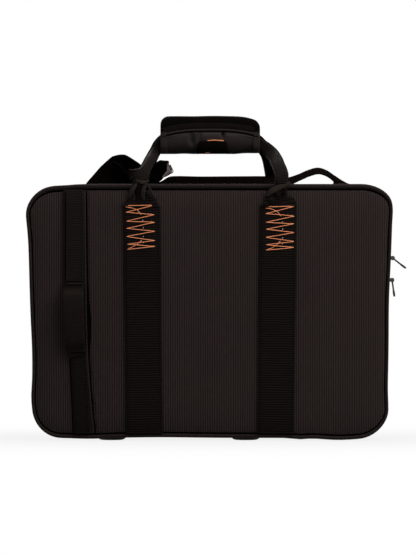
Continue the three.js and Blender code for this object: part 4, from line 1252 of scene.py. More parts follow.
# The rows sewn across the flat loop's ends, drawn as near-black strips that are partly painted shade: height,
# and how deep each lies below the loop's face. The ridge between the upper two, painted lighter as a
# highlight, is given by its height, its two ends and its width.
LOOP_SEAMS = ((LOOP_BOTTOM_Z + 3.1, 0), (LOOP_BOTTOM_Z + 8.9, 0),
              (LOOP_TOP_Z - 1.7, 0), (LOOP_TOP_Z + 2.4, 1.8))
LOOP_SEAM_ENDS = (-8.6, 9)
LOOP_SEAM_WIDTH = 1.1
LOOP_RIDGE = (LOOP_TOP_Z + 0.5, -6.4, 8.8, 1.2)


def hand_loop():
    """The flat loop on the narrow band. Its ends are sewn down with rows across them."""
    seat = BASE_DEPTH + 2 * TOUCH + 1.5 * WEBBING_THICKNESS
    rise = LOOP_BULGE - 2 * WEBBING_THICKNESS
    keys = []
    for length_share, rise_share in ARCH_SHARES:
        z = between(LOOP_BOTTOM_Z, LOOP_TOP_Z, length_share)
        keys.append((narrow_x(z), -(seat + rise * rise_share), z))
    path = smooth_path(keys, 8)
    sections = np.array([flat_section(2 * narrow_half(z), WEBBING_THICKNESS) for z in path[:, 2]])
    swept(path, sections, faces=(0, -1, 0)).make(
        "side_loop_webbing", narrow_weave, "root", "webbing", ["side_hand_loop"])
    y = -(seat + WEBBING_THICKNESS / 2 + 0.1)

    def line(z, start, end, width, rise=0):
        run = np.array([(narrow_x(z) + x, y + rise, z) for x in np.linspace(start, end, 8)])
        return swept(run, flat_section(width, 0.7, 3), faces=(0, -1, 0))

    # Seams as near-black strips, partly painted shade, and the ridge in the lighter pleat webbing as a
    # painted highlight.
    seams = Shape()
    for z, sunk in LOOP_SEAMS:
        seams.join(line(z, *LOOP_SEAM_ENDS, LOOP_SEAM_WIDTH, sunk))
    seams.make("side_loop_stitches", flange_nylon, "root")
    line(*LOOP_RIDGE).make("side_loop_ridge", pleat_weave, "root", "webbing")


# Carrying loops

FOLD_POINTS = 29


def gathered_line(half, ripple, ridge_at, ridge):
    """Webbing squeezed to a half width: shallow pleats, and one ridge that can run across from key to key."""
    t = np.linspace(-1, 1, FOLD_POINTS)
    up = -ripple * (0.5 - 0.5 * np.cos(3 * math.pi * t)) + ridge * np.exp(-((t - ridge_at) / 0.2) ** 2)
    up -= 0.7 * ridge * np.exp(-((t - ridge_at - 0.5) / 0.26) ** 2)
    return np.stack([half * t, up], 1)


def hairpin_line(half, outer, inner):
    """Webbing with both edges folded behind its middle. Outer and inner are the folds, in half turns."""
    found = []
    for t in np.linspace(-1, 1, FOLD_POINTS):
        side, fold, radius = (1, outer, 1.5) if t > 0 else (-1, inner, 2.6)
        flat = half - radius - WEBBING_THICKNESS / 2
        turn = max(fold, 0.02) * math.pi
        run = abs(t) * (flat + radius * turn + 1.6 * half) - flat
        angle = min(max(run / radius, 0), turn)
        rest = max(run - radius * turn, 0)
        across = flat + min(run, 0) + radius * math.sin(angle) + rest * math.cos(turn)
        found.append((side * across, -radius * (1 - math.cos(angle)) - rest * math.sin(turn)))
    return np.array(found)


def thick_line(line, thickness):
    """The closed section of cloth that follows a line."""
    way = np.gradient(line, axis=0)
    way /= np.linalg.norm(way, axis=1)[:, None] + 1e-9
    normal = np.stack([-way[:, 1], way[:, 0]], 1)
    return np.vstack([line + normal * thickness / 2, (line - normal * thickness / 2)[::-1]])


# Keys of each leg from the band to the inside of the wrap. The place is given as shares of the way across to
# the wrap's end, of the way from the panel to the loops' place in the wrap, and of the rise from the top edge
# to the wrap. Then come half width, share of the hairpin, outer and inner fold, pleat depth, ridge place and
# ridge height.
LEG_KEYS = {
    "left": [
        (-0.09, 0, -0.86, 18.4, 0, 0, 0, 0, 0, 0), (-0.09, 0, -0.74, 18, 0, 0.1, 0.1, 0.6, -0.3, 0.4),
        (-0.13, 0, -0.58, 15.8, 0, 0.3, 0.3, 3.6, -0.35, 1.8),
        (-0.21, 0.01, -0.36, 11.4, 0.1, 0.8, 0.8, 5.4, -0.4, 3),
        (-0.19, 0.02, -0.14, 8.9, 0.35, 0.7, 1, 5, -0.35, 3),
        (0, 0.04, 0.03, 7.5, 0.6, 0.5, 1, 1.6, -0.2, 1.4),
        (0.06, 0.07, 0.18, 8.2, 0.8, 0.34, 1, 0.8, 0, 0.6), (0.12, 0.1, 0.31, 7.2, 0.95, 0.12, 1, 0, 0, 0),
        (0.28, 0.24, 0.5, 5.4, 1, 0.9, 1, 0, 0, 0), (0.5, 0.55, 0.8, 4.9, 1, 1, 1, 0, 0, 0),
        (0.74, 0.93, 1.09, 4.8, 1, 1, 1, 0, 0, 0), (1, 1, 1.36, 5, 1, 1, 1, 0, 0, 0),
        (1.4, 1, 1.52, 5.4, 1, 1, 1, 0, 0, 0),
    ],
    "right": [
        (-0.04, 0, -0.86, 18.2, 0, 0, 0, 0, 0, 0), (-0.03, 0, -0.74, 17, 0, 0.1, 0.1, 0.3, -0.8, 2.4),
        (0.01, 0, -0.6, 14.9, 0, 0.3, 0.3, 0.6, -0.5, 4),
        (0.01, 0.01, -0.43, 11.8, 0.05, 0.6, 0.6, 0.8, -0.1, 5.2),
        (-0.17, 0.01, -0.25, 8.7, 0.3, 0.8, 0.8, 0.8, 0.35, 5),
        (-0.17, 0.02, -0.05, 8, 0.6, 0.9, 0.9, 0.6, 0.75, 2),
        (-0.17, 0.05, 0.17, 7.8, 0.9, 1, 1, 0.4, 0.9, 1), (-0.1, 0.12, 0.36, 6.8, 1, 1, 1, 0, 0, 0),
        (0.04, 0.3, 0.6, 6.6, 1, 1, 1, 0, 0, 0), (0.24, 0.66, 0.87, 6.6, 1, 1, 1, 0, 0, 0),
        (0.53, 0.94, 1.09, 6.6, 1, 1, 1, 0, 0, 0), (0.88, 1, 1.25, 6.4, 1, 1, 1, 0, 0, 0),
        (1.4, 1, 1.45, 6, 1, 1, 1, 0, 0, 0),
    ],
}
# How far the gathered root bulges from the case, by its share of the rise, and how far from the wrap's middle
# the two loops lie in it
ROOT_BULGE = (0.02, 0.3, 3.4)
LOOP_OFFSET = 6.25


def carrying_loop(name, node, depth, sign, body, weave):
    """Webbing that leaves the top of its bands, is gathered at its root and runs into the handle wrap."""
    neck_z = BODY_TOP + PIPING_RADIUS
    near_y = sign * (depth + TOUCH + WEBBING_THICKNESS / 2 + 0.4)
    pair_y = sign * LOOP_OFFSET
    places, shapes = [], []
    for direction, side in ((-1, "left"), (1, "right")):
        strap_x = direction * (STRAP_SPREAD_TOP - inset_of(sign, direction))
        end_x = WRAP_CENTRE_X + direction * WRAP_LENGTH / 2
        leg = []
        for x, y, z, half, hairpin, outer, inner, ripple, ridge_at, ridge in LEG_KEYS[side]:
            place = (between(strap_x, end_x, x), between(near_y, pair_y, y) + sign * humps(z, ROOT_BULGE),
                     between(neck_z, WRAP_BOTTOM, z))
            gathered = gathered_line(half, ripple, ridge_at, ridge)
            line = between(gathered, hairpin_line(half, outer, inner), hairpin)
            leg.append((place, thick_line(line, WEBBING_THICKNESS)))
        leg = leg if direction < 0 else leg[::-1]
        places += [place for place, _ in leg]
        shapes += [section for _, section in leg]
    steps = 7
    path = smooth_path(places, steps)
    sections = spread_values(shapes, steps)
    _, outwards, up = frames(path, faces=(0, sign, 0))
    rows = path[:, None] - sign * sections[:, :, :1] * outwards[:, None] + sections[:, :, 1:] * up[:, None]
    line = np.linspace(-18, 18, FOLD_POINTS)
    shape = Shape().skin(rows, around=[*line, *line[::-1]], along=lengths(path), ribs="along")
    return shape.make(name, weave, body, "webbing", [node], 60)


# Raised pleats at the roots of the front loop, painted lighter as a highlight, as seen in the photograph:
# width, and places across and up
PLEATS = [
    (6.5, (58.2, 252.4), (63.9, 257.6), (72.1, 261.7), (82.4, 266.4)),
    (4.5, (-65.4, 266.9), (-68, 260.7), (-69, 253.5), (-68, 248.3)),
    (5, (-75.2, 265.8), (-79.8, 258.6), (-83.4, 251.4)),
    (2.5, (-63.4, 263.8), (-60.3, 256.6), (-55.6, 248.9)),
    (4, (-76.2, 268.9), (-70, 266.4), (-62.8, 267.9)),
]


def root_pleats():
    """The pleats stand up in their middle and sink into the webbing at both ends."""
    shape = Shape()
    for width, *line in PLEATS:
        path = smooth_path([(x, -BASE_DEPTH - 3.4, z) for x, z in line], 6)
        swell = np.sin(np.linspace(0.12, math.pi - 0.12, len(path)))
        path[:, 1] -= 1.6 * swell
        sections = np.array([flat_section(width * (0.4 + 0.6 * share), 1 + share, 4) for share in swell])
        shape.join(swept(path, sections, faces=(-0.2, -0.9, 0.4)))
    # The pleats' lighter webbing is a painted highlight.
    shape.make("front_loop_pleats", pleat_weave, "root", "webbing")


# Handle


def end_drop(x):
    """How far the wrap's top falls at a distance along the wrap. The right end falls over a longer run."""
    half = WRAP_LENGTH / 2
    radius = 8.5
    left = max(0, radius - half - x)
    right = max(0, (x - half + 30) / 30)
    corner = 6
    end = max(0, x - half + corner)
    return (radius - math.sqrt(max(radius ** 2 - left ** 2, 0)) + 6.2 * right ** 2.4
            + corner - math.sqrt(corner ** 2 - end ** 2))


def flap_edge(x):
    """Height of the flap's upper edge: an arch, lower at both ends."""
    share = abs(x) / (WRAP_LENGTH / 2)
    return BAND_EDGE - TOUCH - 6.5 * share ** 3


def rounded(corners, radii, steps=6):
    """A closed outline through corners, each rounded with its own radius."""
    corners = np.asarray(corners, float)
    found = []
    for i, corner in enumerate(corners):
        before = corners[i - 1] - corner
        after = corners[(i + 1) % len(corners)] - corner
        radius = min(radii[i], np.linalg.norm(before) * 0.49, np.linalg.norm(after) * 0.49)
        a, b = corner + unit(before) * radius, corner + unit(after) * radius
        for s in np.linspace(0, 1, steps):
            found.append((1 - s) ** 2 * a + 2 * s * (1 - s) * corner + s ** 2 * b)
    return np.array(found)


def wrap_row(x, corners, radii):
    """One rounded section of the wrap at a distance along it."""
    section = rounded(corners, radii)
    return np.column_stack([np.full(len(section), WRAP_CENTRE_X + x), section])


def grip_row(x):
    """Section of the grip: over the loops, down its back and round to the trim above the flap."""
    top = WRAP_TOP - end_drop(x)
    edge = flap_edge(x) - 3
    inner = WRAP_HALF - WRAP_WALL
    foot = FLAP_TOP_Z + 2 * TOUCH
    puff = 0.25 * math.sin(0.11 * x + 1) * math.cos(x * 0.045)
    front = -WRAP_HALF + 0.4
    corners = [(WRAP_HALF, foot), (WRAP_HALF, top + puff), (front, top + puff), (front, edge),
               (-inner, edge), (-inner, top - WRAP_WALL), (inner, top - WRAP_WALL), (inner, foot)]
    return wrap_row(x, corners, (1.5, 11, 11, 1, 1, 7, 7, 1))


# The pull at the finger tab, and the dents and the crease in the flap's face: place along the wrap, spread
# and amount
TAB_PULL = (3, 13, 1.5)
FLAP_DENTS = ((-19, 2.6, 4.4), (-11, 3, 1.8))
FLAP_CREASE = (13.2, 1.6, 4)


def flap_lift(x):
    """How far the flap's lower edge rises: small waves, and a pull at the finger tab."""
    return 0.35 * math.sin(0.2 * x + 0.8) + humps(x, TAB_PULL) + 0.02 * max(x - 25, 0) ** 1.3


def flap_row(x):
    """Section of the flap: from the back under the loops and up the front, where it puffs out."""
    squeeze = (abs(x) / (WRAP_LENGTH / 2)) ** 4
    edge = flap_edge(x)
    low = WRAP_BOTTOM + max(flap_lift(x), 0)
    dent = humps(x, *FLAP_DENTS)
    crease = humps(x, FLAP_CREASE)
    front = WRAP_HALF + 2.2 * (1 - squeeze)
    inner = WRAP_HALF - WRAP_WALL
    corners = [(WRAP_HALF, low + 0.8), (WRAP_HALF, FLAP_TOP_Z), (-inner, FLAP_TOP_Z), (-inner, edge),
               (-WRAP_HALF - 0.2, edge), (-front + 0.5 * dent + crease, between(low, edge, 0.82)),
               (-front + 1.2 + dent, between(low, edge, 0.55)), (-WRAP_HALF * 0.9, between(low, edge, 0.3)),
               (-WRAP_HALF * 0.62, between(low, edge, 0.06)), (-WRAP_HALF * 0.3, low),
               (WRAP_HALF * 0.72, low)]
    return wrap_row(x, corners, (2.5, 1, 1, 1, 1.6, 5, 8, 8, 6, 5, 3))


# Heights of the fold's rows over its middle, its two faces behind the wrap, and the half width of its bend
FOLD_FACES = (0.15, 0.7)
FOLD_BEND = 0.6
FOLD_RISES = (3.4, 2.4, 1.5, 0.9, 0.6, 0.3, 0, -0.3, -0.6, -0.9, -1.5, -2.4)


def flap_fold():
    """The cloth that joins the flap to the back of the wrap, at the flap's hinge."""
    middle = FLAP_TOP_Z + TOUCH
    rows = []
    for x in np.linspace(0.8, WRAP_LENGTH - 0.8, 50) - WRAP_LENGTH / 2:
        back, face = ([(WRAP_CENTRE_X + x, WRAP_HALF + out, middle + rise) for rise in FOLD_RISES]
                      for out in FOLD_FACES)
        rows.append(np.array(back + face[::-1]))
    upper, lower = ((0, WRAP_HALF * MM, (middle + rise) * MM) for rise in (FOLD_BEND, -FOLD_BEND))
    Shape().skin(rows, ribs="along").make("flap_fold", velvet, None, "plush", (), 50,
                                          blend=("root", "handle_flap", upper, lower))


# Length of the finely divided stretch at each end of the wrap
WRAP_END = 12


def handle_wrap():
    """Grip body and flap, the fold between them and what is sewn to them."""
    flap_fold()
    half = WRAP_LENGTH / 2
    ends = half - WRAP_END * np.linspace(0, 1, 12)[1:] ** 1.8
    middle = np.linspace(WRAP_END - half, half - WRAP_END, 60)[1:-1]
    xs = np.concatenate([[-half], -ends, middle, ends[::-1], [half]])
    grip = Shape().skin([grip_row(x) for x in xs], ribs="along")
    grip.make("grip_body", velvet, "root", "plush", ["handle_grip"], 50)
    flap = Shape().skin([flap_row(x) for x in xs], ribs="along")
    flap.make("grip_flap", flap_cloth, "handle_flap", "nylon", ["handle_flap"], 50)
    flap_edges()
    finger_tab()


# Places of the flap's binding: in from the wrap's ends for the top and for the sides, and the sides' width
BINDING_INSET = 1.2
SIDE_BINDING_INSET = 3.8
SIDE_BINDING_WIDTH = 6.6


def flap_edges():
    """The flap's bound edges with the crease under the upper one, drawn as a dark strip of painted shade, the
    trim above it, and their stitches.
    """
    half = WRAP_LENGTH / 2
    inset = np.linspace(BINDING_INSET - half, half - BINDING_INSET, 40)
    edge = np.array([(WRAP_CENTRE_X + x, -WRAP_HALF - 0.5, flap_edge(x) - 0.9) for x in inset])
    binding = swept(edge + (0, 0, 2), flat_section(2.3, 1.4, 4), faces=(0, -1, 0.3))
    # The crease is a near-black strip: painted shade under the binding.
    crease = swept(edge - (0, 0.6, -0.1), flat_section(1.1, 0.8, 3), faces=(0, -1, 0))
    crease.make("flap_crease", flange_nylon, "handle_flap")
    for end in (SIDE_BINDING_INSET - half, half - SIDE_BINDING_INSET):
        down = []
        for share in np.linspace(-0.3, 1, 18):
            z = between(flap_edge(end) - 1, WRAP_BOTTOM + 1, share)
            front = WRAP_HALF + 1.9 * (1 - (abs(end) / half) ** 4)
            bulge = math.sin(math.pi * min(max(share, 0) * 1.25, 1)) * (front - WRAP_HALF + 0.4)
            tuck = 4.5 * max(0, share - 0.72) / 0.28
            down.append((WRAP_CENTRE_X + end, -WRAP_HALF - 0.6 - bulge * 0.8 + tuck, z))
        binding.join(swept(np.array(down), flat_section(SIDE_BINDING_WIDTH, 1.4, 4), faces=(0, -1, 0.2)))
    binding.make("flap_binding", binding_tape, "handle_flap", "nylon", (), 50)
    row = np.array([(WRAP_CENTRE_X + x, -WRAP_HALF - 0.2, flap_edge(x) + 4.6)
                    for x in np.linspace(-half + 3, half - 6, 40)])
    trim = swept(row + (0, 0, 0.8), flat_section(5.4, 1.2, 4), faces=(0, -1, 0.1))
    trim.make("grip_trim", trim_cloth, "root", "plush")
    row[:, 1] -= 0.7
    seam = edge + (0, -0.9, -2.6)
    stitches(row, pitch=2.6, length=1.3, radius=0.34).make("grip_stitches", dark_thread, "root")
    stitches(seam).make("flap_stitches", dark_thread, "handle_flap")


# The finger tab: place to the right of the wrap's middle, its widths at the bottom and the top, and the two
# rows of its coloured stitching
FINGER_TAB_X = 2.4
FINGER_TAB_WIDTHS = (34, 27)
UPPER_BAR = (-2.6, 14.2)
LOWER_BAR = (-4.8, 9.8)


def finger_tab():
    """The finger tab on the flap, turned under the wrap, with its coloured stitching."""
    tab_x = WRAP_CENTRE_X + FINGER_TAB_X
    tab_y = -(WRAP_HALF + 2 + TOUCH + TAB_THICKNESS / 2)
    low = WRAP_BOTTOM + 1.1 - TAB_THICKNESS / 2
    keys = [(tab_x, tab_y + 0.7, WRAP_BOTTOM + TAB_HEIGHT - 2.4), (tab_x, tab_y + 0.4, WRAP_BOTTOM + 9),
            (tab_x, tab_y + 2, WRAP_BOTTOM + 4.5), (tab_x, -WRAP_HALF * 0.7 - TAB_THICKNESS, low + 1),
            (tab_x, -WRAP_HALF * 0.2, low)]
    path = smooth_path(keys, 8)
    across = np.broadcast_to([1.0, 0, 0], path.shape)
    widths = np.interp(path[:, 2], (low, WRAP_BOTTOM + TAB_HEIGHT), FINGER_TAB_WIDTHS)
    sections = np.array([flat_section(width, TAB_THICKNESS, 6) for width in widths])
    swept(path, sections, across=across).make(
        "finger_tab_webbing", tab_velvet, "handle_flap", "webbing", ["finger_tab"])
    top = WRAP_BOTTOM + TAB_HEIGHT - 1.6
    shape = Shape()
    for x0, x1, y, z in ((*UPPER_BAR, tab_y + 0.9, top), (*LOWER_BAR, -WRAP_HALF * 0.86, low + 1.1)):
        run = np.array([(x, y, z + 0.3 * math.sin(x / 3)) for x in np.linspace(x0, x1, 14)])
        run[[0, -1], 1] += 0.5
        shape.join(tube(run, 0.45, 8))
    shape.make("finger_tab_bar", bar_thread, "handle_flap")


# Rear pocket


def pocket_outline(inset, y):
    w = POCKET_WIDTH / 2 - inset
    z0 = BODY_BOTTOM + POCKET_BOTTOM_RISE + inset
    z1 = BODY_BOTTOM + POCKET_BOTTOM_RISE + POCKET_HEIGHT - inset
    r = max(POCKET_RADIUS - inset, 2)
    points = []
    for x, z, start in ((w - r, z0 + r, -90), (w - r, z1 - r, 0), (r - w, z1 - r, 90), (r - w, z0 + r, 180)):
        for angle in np.radians(np.linspace(start, start + 90, 9)):
            points.append((x + r * math.cos(angle), y, z + r * math.sin(angle)))
    found = []
    for i, point in enumerate(points):
        after = points[(i + 1) % len(points)]
        steps = max(int(math.dist(point, after) / 8), 1)
        found += [tuple(between(np.array(point), np.array(after), s / steps)) for s in range(steps)]
    return np.array(found)


def same_count(rows):
    """Brings closed outlines to one count of points, by even distances from the first point."""
    count = max(len(row) for row in rows)
    found = []
    for row in rows:
        ring = ringed(row)
        run = lengths(ring)
        found.append(read_at(np.linspace(0, run[-1], count, endpoint=False), run, ring))
    return found


# Where the rows of the pocket's panel lie, in from its edge, and the height and fading length of its crown
POCKET_RUNS = (1, 2.5, 4.5, 7, 11, 18, 30, 45, 60, 70)
POCKET_CROWN = 1.9
POCKET_FADE = 4


def pocket():
    """Pocket wall, hinged panel, piping, coil and stitches."""
    section = [(0, POCKET_FACE), (-0.4, POCKET_FACE + 3), (-0.6, between(POCKET_FACE, POCKET_EDGE, 0.5)),
               (0, POCKET_EDGE), (POCKET_WALL, POCKET_EDGE), (POCKET_WALL, POCKET_FACE)]
    rows = same_count([pocket_outline(inset, y) for inset, y in section])
    Shape().skin(rows, closed=True).make("pocket_side_cloth", gusset_nylon, "lid", "nylon", ["pocket_wall"])
    face = POCKET_EDGE + TOUCH
    profile = [(0, face), (0, face + POCKET_PANEL_THICKNESS)]
    profile += [(run, face + POCKET_PANEL_THICKNESS + POCKET_CROWN * (1 - math.exp(-run / POCKET_FADE)))
                for run in POCKET_RUNS]
    rows = same_count([pocket_outline(inset, y) for inset, y in profile])
    made = Shape().skin(rows).lay_flat().make("pocket_face_cloth", ribbed_nylon, "pocket_panel", "nylon",
                                              ["pocket_panel"], 50)
    ring = same_count([pocket_outline(0.9, face + POCKET_PANEL_THICKNESS + 0.6)])[0]
    tube(ring, 1.5, 10, closed=True).make("pocket_covered_cord", piping_nylon, "pocket_panel", "piping")
    seam = pocket_outline(5, face + POCKET_PANEL_THICKNESS + 1.5)
    stitches(ringed(seam)).make("pocket_face_stitches", dark_thread, "pocket_panel")
    edge = pocket_outline(-0.55, POCKET_FACE + 2.4)
    stitches(ringed(edge)).make("pocket_side_stitches", dark_thread, "lid")
    pocket_coil()


# How far the coil ends above the pocket's lower corners, and a place well inside its outline
COIL_END_RISE = 10
POCKET_INSIDE = (0, POCKET_EDGE, 120)


def pocket_coil():
    """The coil round the pocket's opening, from one lower corner to the other."""
    line = pocket_outline(-0.5, POCKET_EDGE - 1.2)
    keep = line[line[:, 2] > BODY_BOTTOM + POCKET_BOTTOM_RISE + POCKET_RADIUS + COIL_END_RISE]
    start = int(np.argmax(np.linalg.norm(np.diff(keep, axis=0), axis=1))) + 1
    keep = np.roll(keep, -start, axis=0) if np.linalg.norm(keep[0] - keep[-1]) < 20 else keep
    shape = Shape()
    for point, way in zip(*resample(keep, sizes().tooth_pitch / MM)):
        out = unit(np.cross((0, 1, 0), way))
        if np.dot(out, point - POCKET_INSIDE) < 0:
            out = -out
        turn = [point + (0, y, 0) + out * rise for y, rise in POCKET_TURN]
        shape.skin(tube_rows(turn, way, COIL_WIRE))
    shape.make("pocket_coil", coil_plastic, "lid", "zip")


# Rings, hooks and shoulder strap


def ring_tab(side, direction):
    """The webbing tab that holds a ring, turned round its flat bar."""
    x = direction * RING_SPREAD
    out = RING_ROD / 2 + WEBBING_THICKNESS / 2 + 3 * TOUCH
    low = RING_BASE_Z - TAB_LENGTH
    inner = REAR_FACE + WEBBING_THICKNESS / 2
    outer = inner + WEBBING_THICKNESS + TOUCH
    keys = [(x, inner, low), (x, inner, RING_BASE_Z - out - 4), (x, inner, RING_BASE_Z - out),
            (x, RING_Y - out, RING_BASE_Z), (x, RING_Y, RING_BASE_Z + out), (x, RING_Y + out, RING_BASE_Z),
            (x, outer, RING_BASE_Z - 2 * out), (x, outer, RING_BASE_Z - 3 * out), (x, outer, low)]
    path = smooth_path(keys, 6)
    across = np.broadcast_to([1.0, 0, 0], path.shape)
    swept(path, flat_section(TAB_STRAP_WIDTH, WEBBING_THICKNESS), across=across).make(
        f"ring_tab_webbing_{side}", webbing_weave, "lid", "webbing", [f"ring_tab_{side}"])
    y = outer + WEBBING_THICKNESS / 2 + 0.1
    w, z0, z1 = TAB_STRAP_WIDTH / 2 - 3, low + 2, low + 14
    box = [(x - w, y, z0), (x + w, y, z0), (x + w, y, z1), (x - w, y, z1), (x - w, y, z0), (x + w, y, z1)]
    cross = [(x - w, y, z1), (x + w, y, z0)]
    stitches(*[np.array(pair) for pair in zip(box[:-1], box[1:])], np.array(cross)).make(
        f"ring_tab_stitches_{side}", dark_thread, "lid")


# The strap's way over the body: place in millimetres, and the direction across the strap. Rows with no
# direction lie as flat as the band.
STRAP_WAY = [
    ((-113.5, 65, 264), (0.93, 0, -0.36)),
    ((-103, 62, 274.3), (0.75, 0, -0.66)),
    ((-96.6, 57, 280.6), (0.4, 0.1, -0.9)),
    ((-89, 46, 283), (0.1, 0.5, -0.85)),
    ((-76, 34, 277.4), (0, 0.75, -0.66)),
    ((-62, 29, 270.8), (0, 0.92, -0.38)),
    ((-52, 28, 268.1), (0, 1, 0.06)),
    ((-42, 28, 270.7), None),
    ((-8, 28, 270.6), None),
    ((34, 28, 270.9), None),
    ((60, 26, 270.8), None),
    ((80, 26.5, 269.2), None),
    ((94, 28, 274), (0, 0.985, 0.17)),
    ((104.5, 31, 278.6), (0, 0.985, 0.17)),
    ((114.5, 34, 281), (0, 0.985, 0.17)),
    ((123, 37, 278.6), (0, 0.985, 0.17)),
]
# The strap's fold behind the arch, where it is bunched: place, direction across the strap and share of its
# width. The first rows run to the right, the middle ones turn over, and the last run back and down to the
# ring.
STRAP_FOLD = [
    ((129.3, 39, 274.6), (0.1, 0.98, 0.13), 0.82),
    ((134.4, 41, 270.8), (0.3, 0.95, 0.08), 0.64),
    ((138, 44, 268), (0.65, 0.76, 0), 0.66),
    ((139.3, 44.6, 266.8), (0.707, 0.707, 0), 0.7),
    ((138.5, 45.4, 265.5), (0.707, 0.707, 0), 0.7),
    ((135.4, 50, 265.2), (0.94, 0.34, 0), 0.62),
    ((133, 57, 265.2), (1, 0.04, 0), 0.6),
    ((129.6, 65, 263.4), (1, 0, 0), 0.7),
    ((126.4, 70, 259), (1, 0, 0), 0.86),
]


def strap_end(direction):
    """The turn of the strap round the bar of its hook."""
    turn = [(-TURN, EYE_HEIGHT), (-TURN, 0)]
    turn += [(TURN * math.cos(a), TURN * math.sin(a)) for a in np.pi * (1 + np.arange(1, 4) / 4)]
    turn.append((TURN, 0))
    return [((direction * RING_SPREAD, HOOK_Y + y, BAR_Z + z), (1, 0, 0), 1) for y, z in turn]


# The edge of the inner layer at the hump: where it starts and ends, and its place across the strap there
LAYER_ENDS = (-97, -78)
LAYER_SIDES = (-13, 9)


def shoulder_strap():
    """The strap's webbing from hook to hook, the edge of its inner layer at the hump, drawn lighter as a
    painted highlight, and its folded end.
    """
    flat = (0, math.cos(FLAT_TILT), math.sin(FLAT_TILT))
    way = [(place, across or flat, 1) for place, across in STRAP_WAY]

    def rise(direction, *shares):
        return [((direction * RING_SPREAD, HOOK_Y + TURN, BAR_Z + n * EYE_HEIGHT), (1, 0, 0), 1)
                for n in shares]

    keys = [*strap_end(-1), *rise(-1, 1, 2), *way, *STRAP_FOLD, *rise(1, 1.8, 1), *strap_end(1)[::-1]]
    steps = 6
    path = smooth_path([key[0] for key in keys], steps)
    across = spread_values([unit(key[1]) * key[2] for key in keys], steps)
    along = np.gradient(path, axis=0)
    up = np.cross(along, across)
    up /= np.linalg.norm(up, axis=1)[:, None]
    section = flat_section(SHOULDER_WIDTH, SHOULDER_THICKNESS)
    rows = path[:, None] + section[:, :1] * across[:, None] + section[:, 1:] * up[:, None]
    Shape().skin(rows, around=list(section[:, 0]), along=lengths(path), ribs="along").make(
        "shoulder_webbing", shoulder_weave, "lid", "webbing", ["shoulder_strap"], 60)
    start, end = (int(np.argmin(np.abs(path[:, 0] - x))) for x in LAYER_ENDS)
    lift = np.where(up[start:end, 1] < 0, 1, -1) * (SHOULDER_THICKNESS / 2 + 0.1)
    over = np.linspace(*LAYER_SIDES, end - start)
    line = path[start:end] + over[:, None] * across[start:end] + lift[:, None] * up[start:end]
    # The edge is in a lighter cloth than the strap: a painted highlight.
    tube(line, 0.35, 8).make("strap_layer_edge", gusset_nylon, "lid")
    strap_tail()


def strap_tail():
    """The strap's folded end: it rises, turns over at a rounded top and shows its cut edge, whose shine is a
    painted glint.
    """
    base = BAND_Z + TAIL_RISE

    def place(x, y, z):
        return (TAIL_X + x, TAIL_Y + y, base + z)

    keys = [(place(-12.5, 1, -6), 14, (0.7, 0.2, -0.68)), (place(-8.5, 0, -1.5), 17, (0.72, 0.16, -0.66)),
            (place(-4, -1.6, 4), 17, (0.78, 0.16, -0.55)), (place(-1, -2, 8.4), 14.5, (0.88, 0.16, -0.35)),
            (place(0.6, -1, 11.6), 11, (0.97, 0.16, -0.12)), (place(1, 0.6, 12.8), 9, (0.98, 0.16, -0.05)),
            (place(0.8, 2.2, 11.6), 10, (0.97, 0.16, -0.1)), (place(-1, 3, 6), 13, (0.85, 0.2, -0.4))]
    steps = 6
    path = smooth_path([key[0] for key in keys], steps)
    across = spread_values([unit(key[2]) for key in keys], steps)
    widths = spread_values([key[1] for key in keys], steps)
    sections = np.array([flat_section(width, WEBBING_THICKNESS) for width in widths])
    swept(path, sections, across=across).make(
        "strap_tail_webbing", shoulder_weave, "lid", "webbing", ["strap_tail"], 60)
    # The cut edge's pale colour is a painted glint.
    facet = [(place(4.2, -3.6, 10.3), 2), (place(5.8, -4, 5.6), 5), (place(6.1, -4.4, 2.4), 6),
             (place(2.7, -4.6, -1.2), 4), (place(-1, -4.4, -3.9), 1.5)]
    path = smooth_path([key[0] for key in facet], 5)
    sections = np.array([flat_section(width, 1, 4) for width in spread_values([key[1] for key in facet], 5)])
    swept(path, sections, faces=(0.2, -1, 0)).make("strap_tail_edge", sealed_edge, "lid")
    rim = smooth_path([place(6.9, -4.4, 9.3), place(8.6, -4.6, 5.6), place(10, -4.8, 1.7),
                       place(6.4, -5, -0.6), place(1.6, -5, -3.4)], 5)
    tube(rim, 0.5, 8).make("strap_tail_rim", shoulder_weave, "lid")


# Inside

RECESS_SHARES = {
    "lower_joint": (0, 0.84, 0, 0.2),
    "upper_joint": (0.16, 1, 0.27, 0.47),
    "bell": (0, 0.38, 0.54, 1),
    "mouthpiece": (0.42, 0.72, 0.54, 0.75),
    "barrel": (0.42, 0.72, 0.8, 1),
    "small_things": (0.76, 1, 0.54, 1),
}
FOAM_LEFT = -(BOTTOM_WIDTH / 2 - FOAM_INSET - FOAM_WALL)
FOAM_BOTTOM = BODY_BOTTOM + FOAM_INSET + FOAM_WALL
FOAM_HEIGHT = BODY_HEIGHT - 2 * (FOAM_INSET + FOAM_WALL)


# How finely the insert is meshed, how far its inner points keep from its edge, and how much lower the edge is
FOAM_MESH = 3.4
FOAM_MARGIN = 2.5
FOAM_LIP = 0.8
# Corner radius of the wide recesses, share of the half width in the others, and how softly the walls turn
WIDE_RECESSES = ("bell", "small_things")
WIDE_RADIUS = 9
ROUND_SHARE = 0.45
RECESS_SOFT = 2
RECESS_RUN = 9


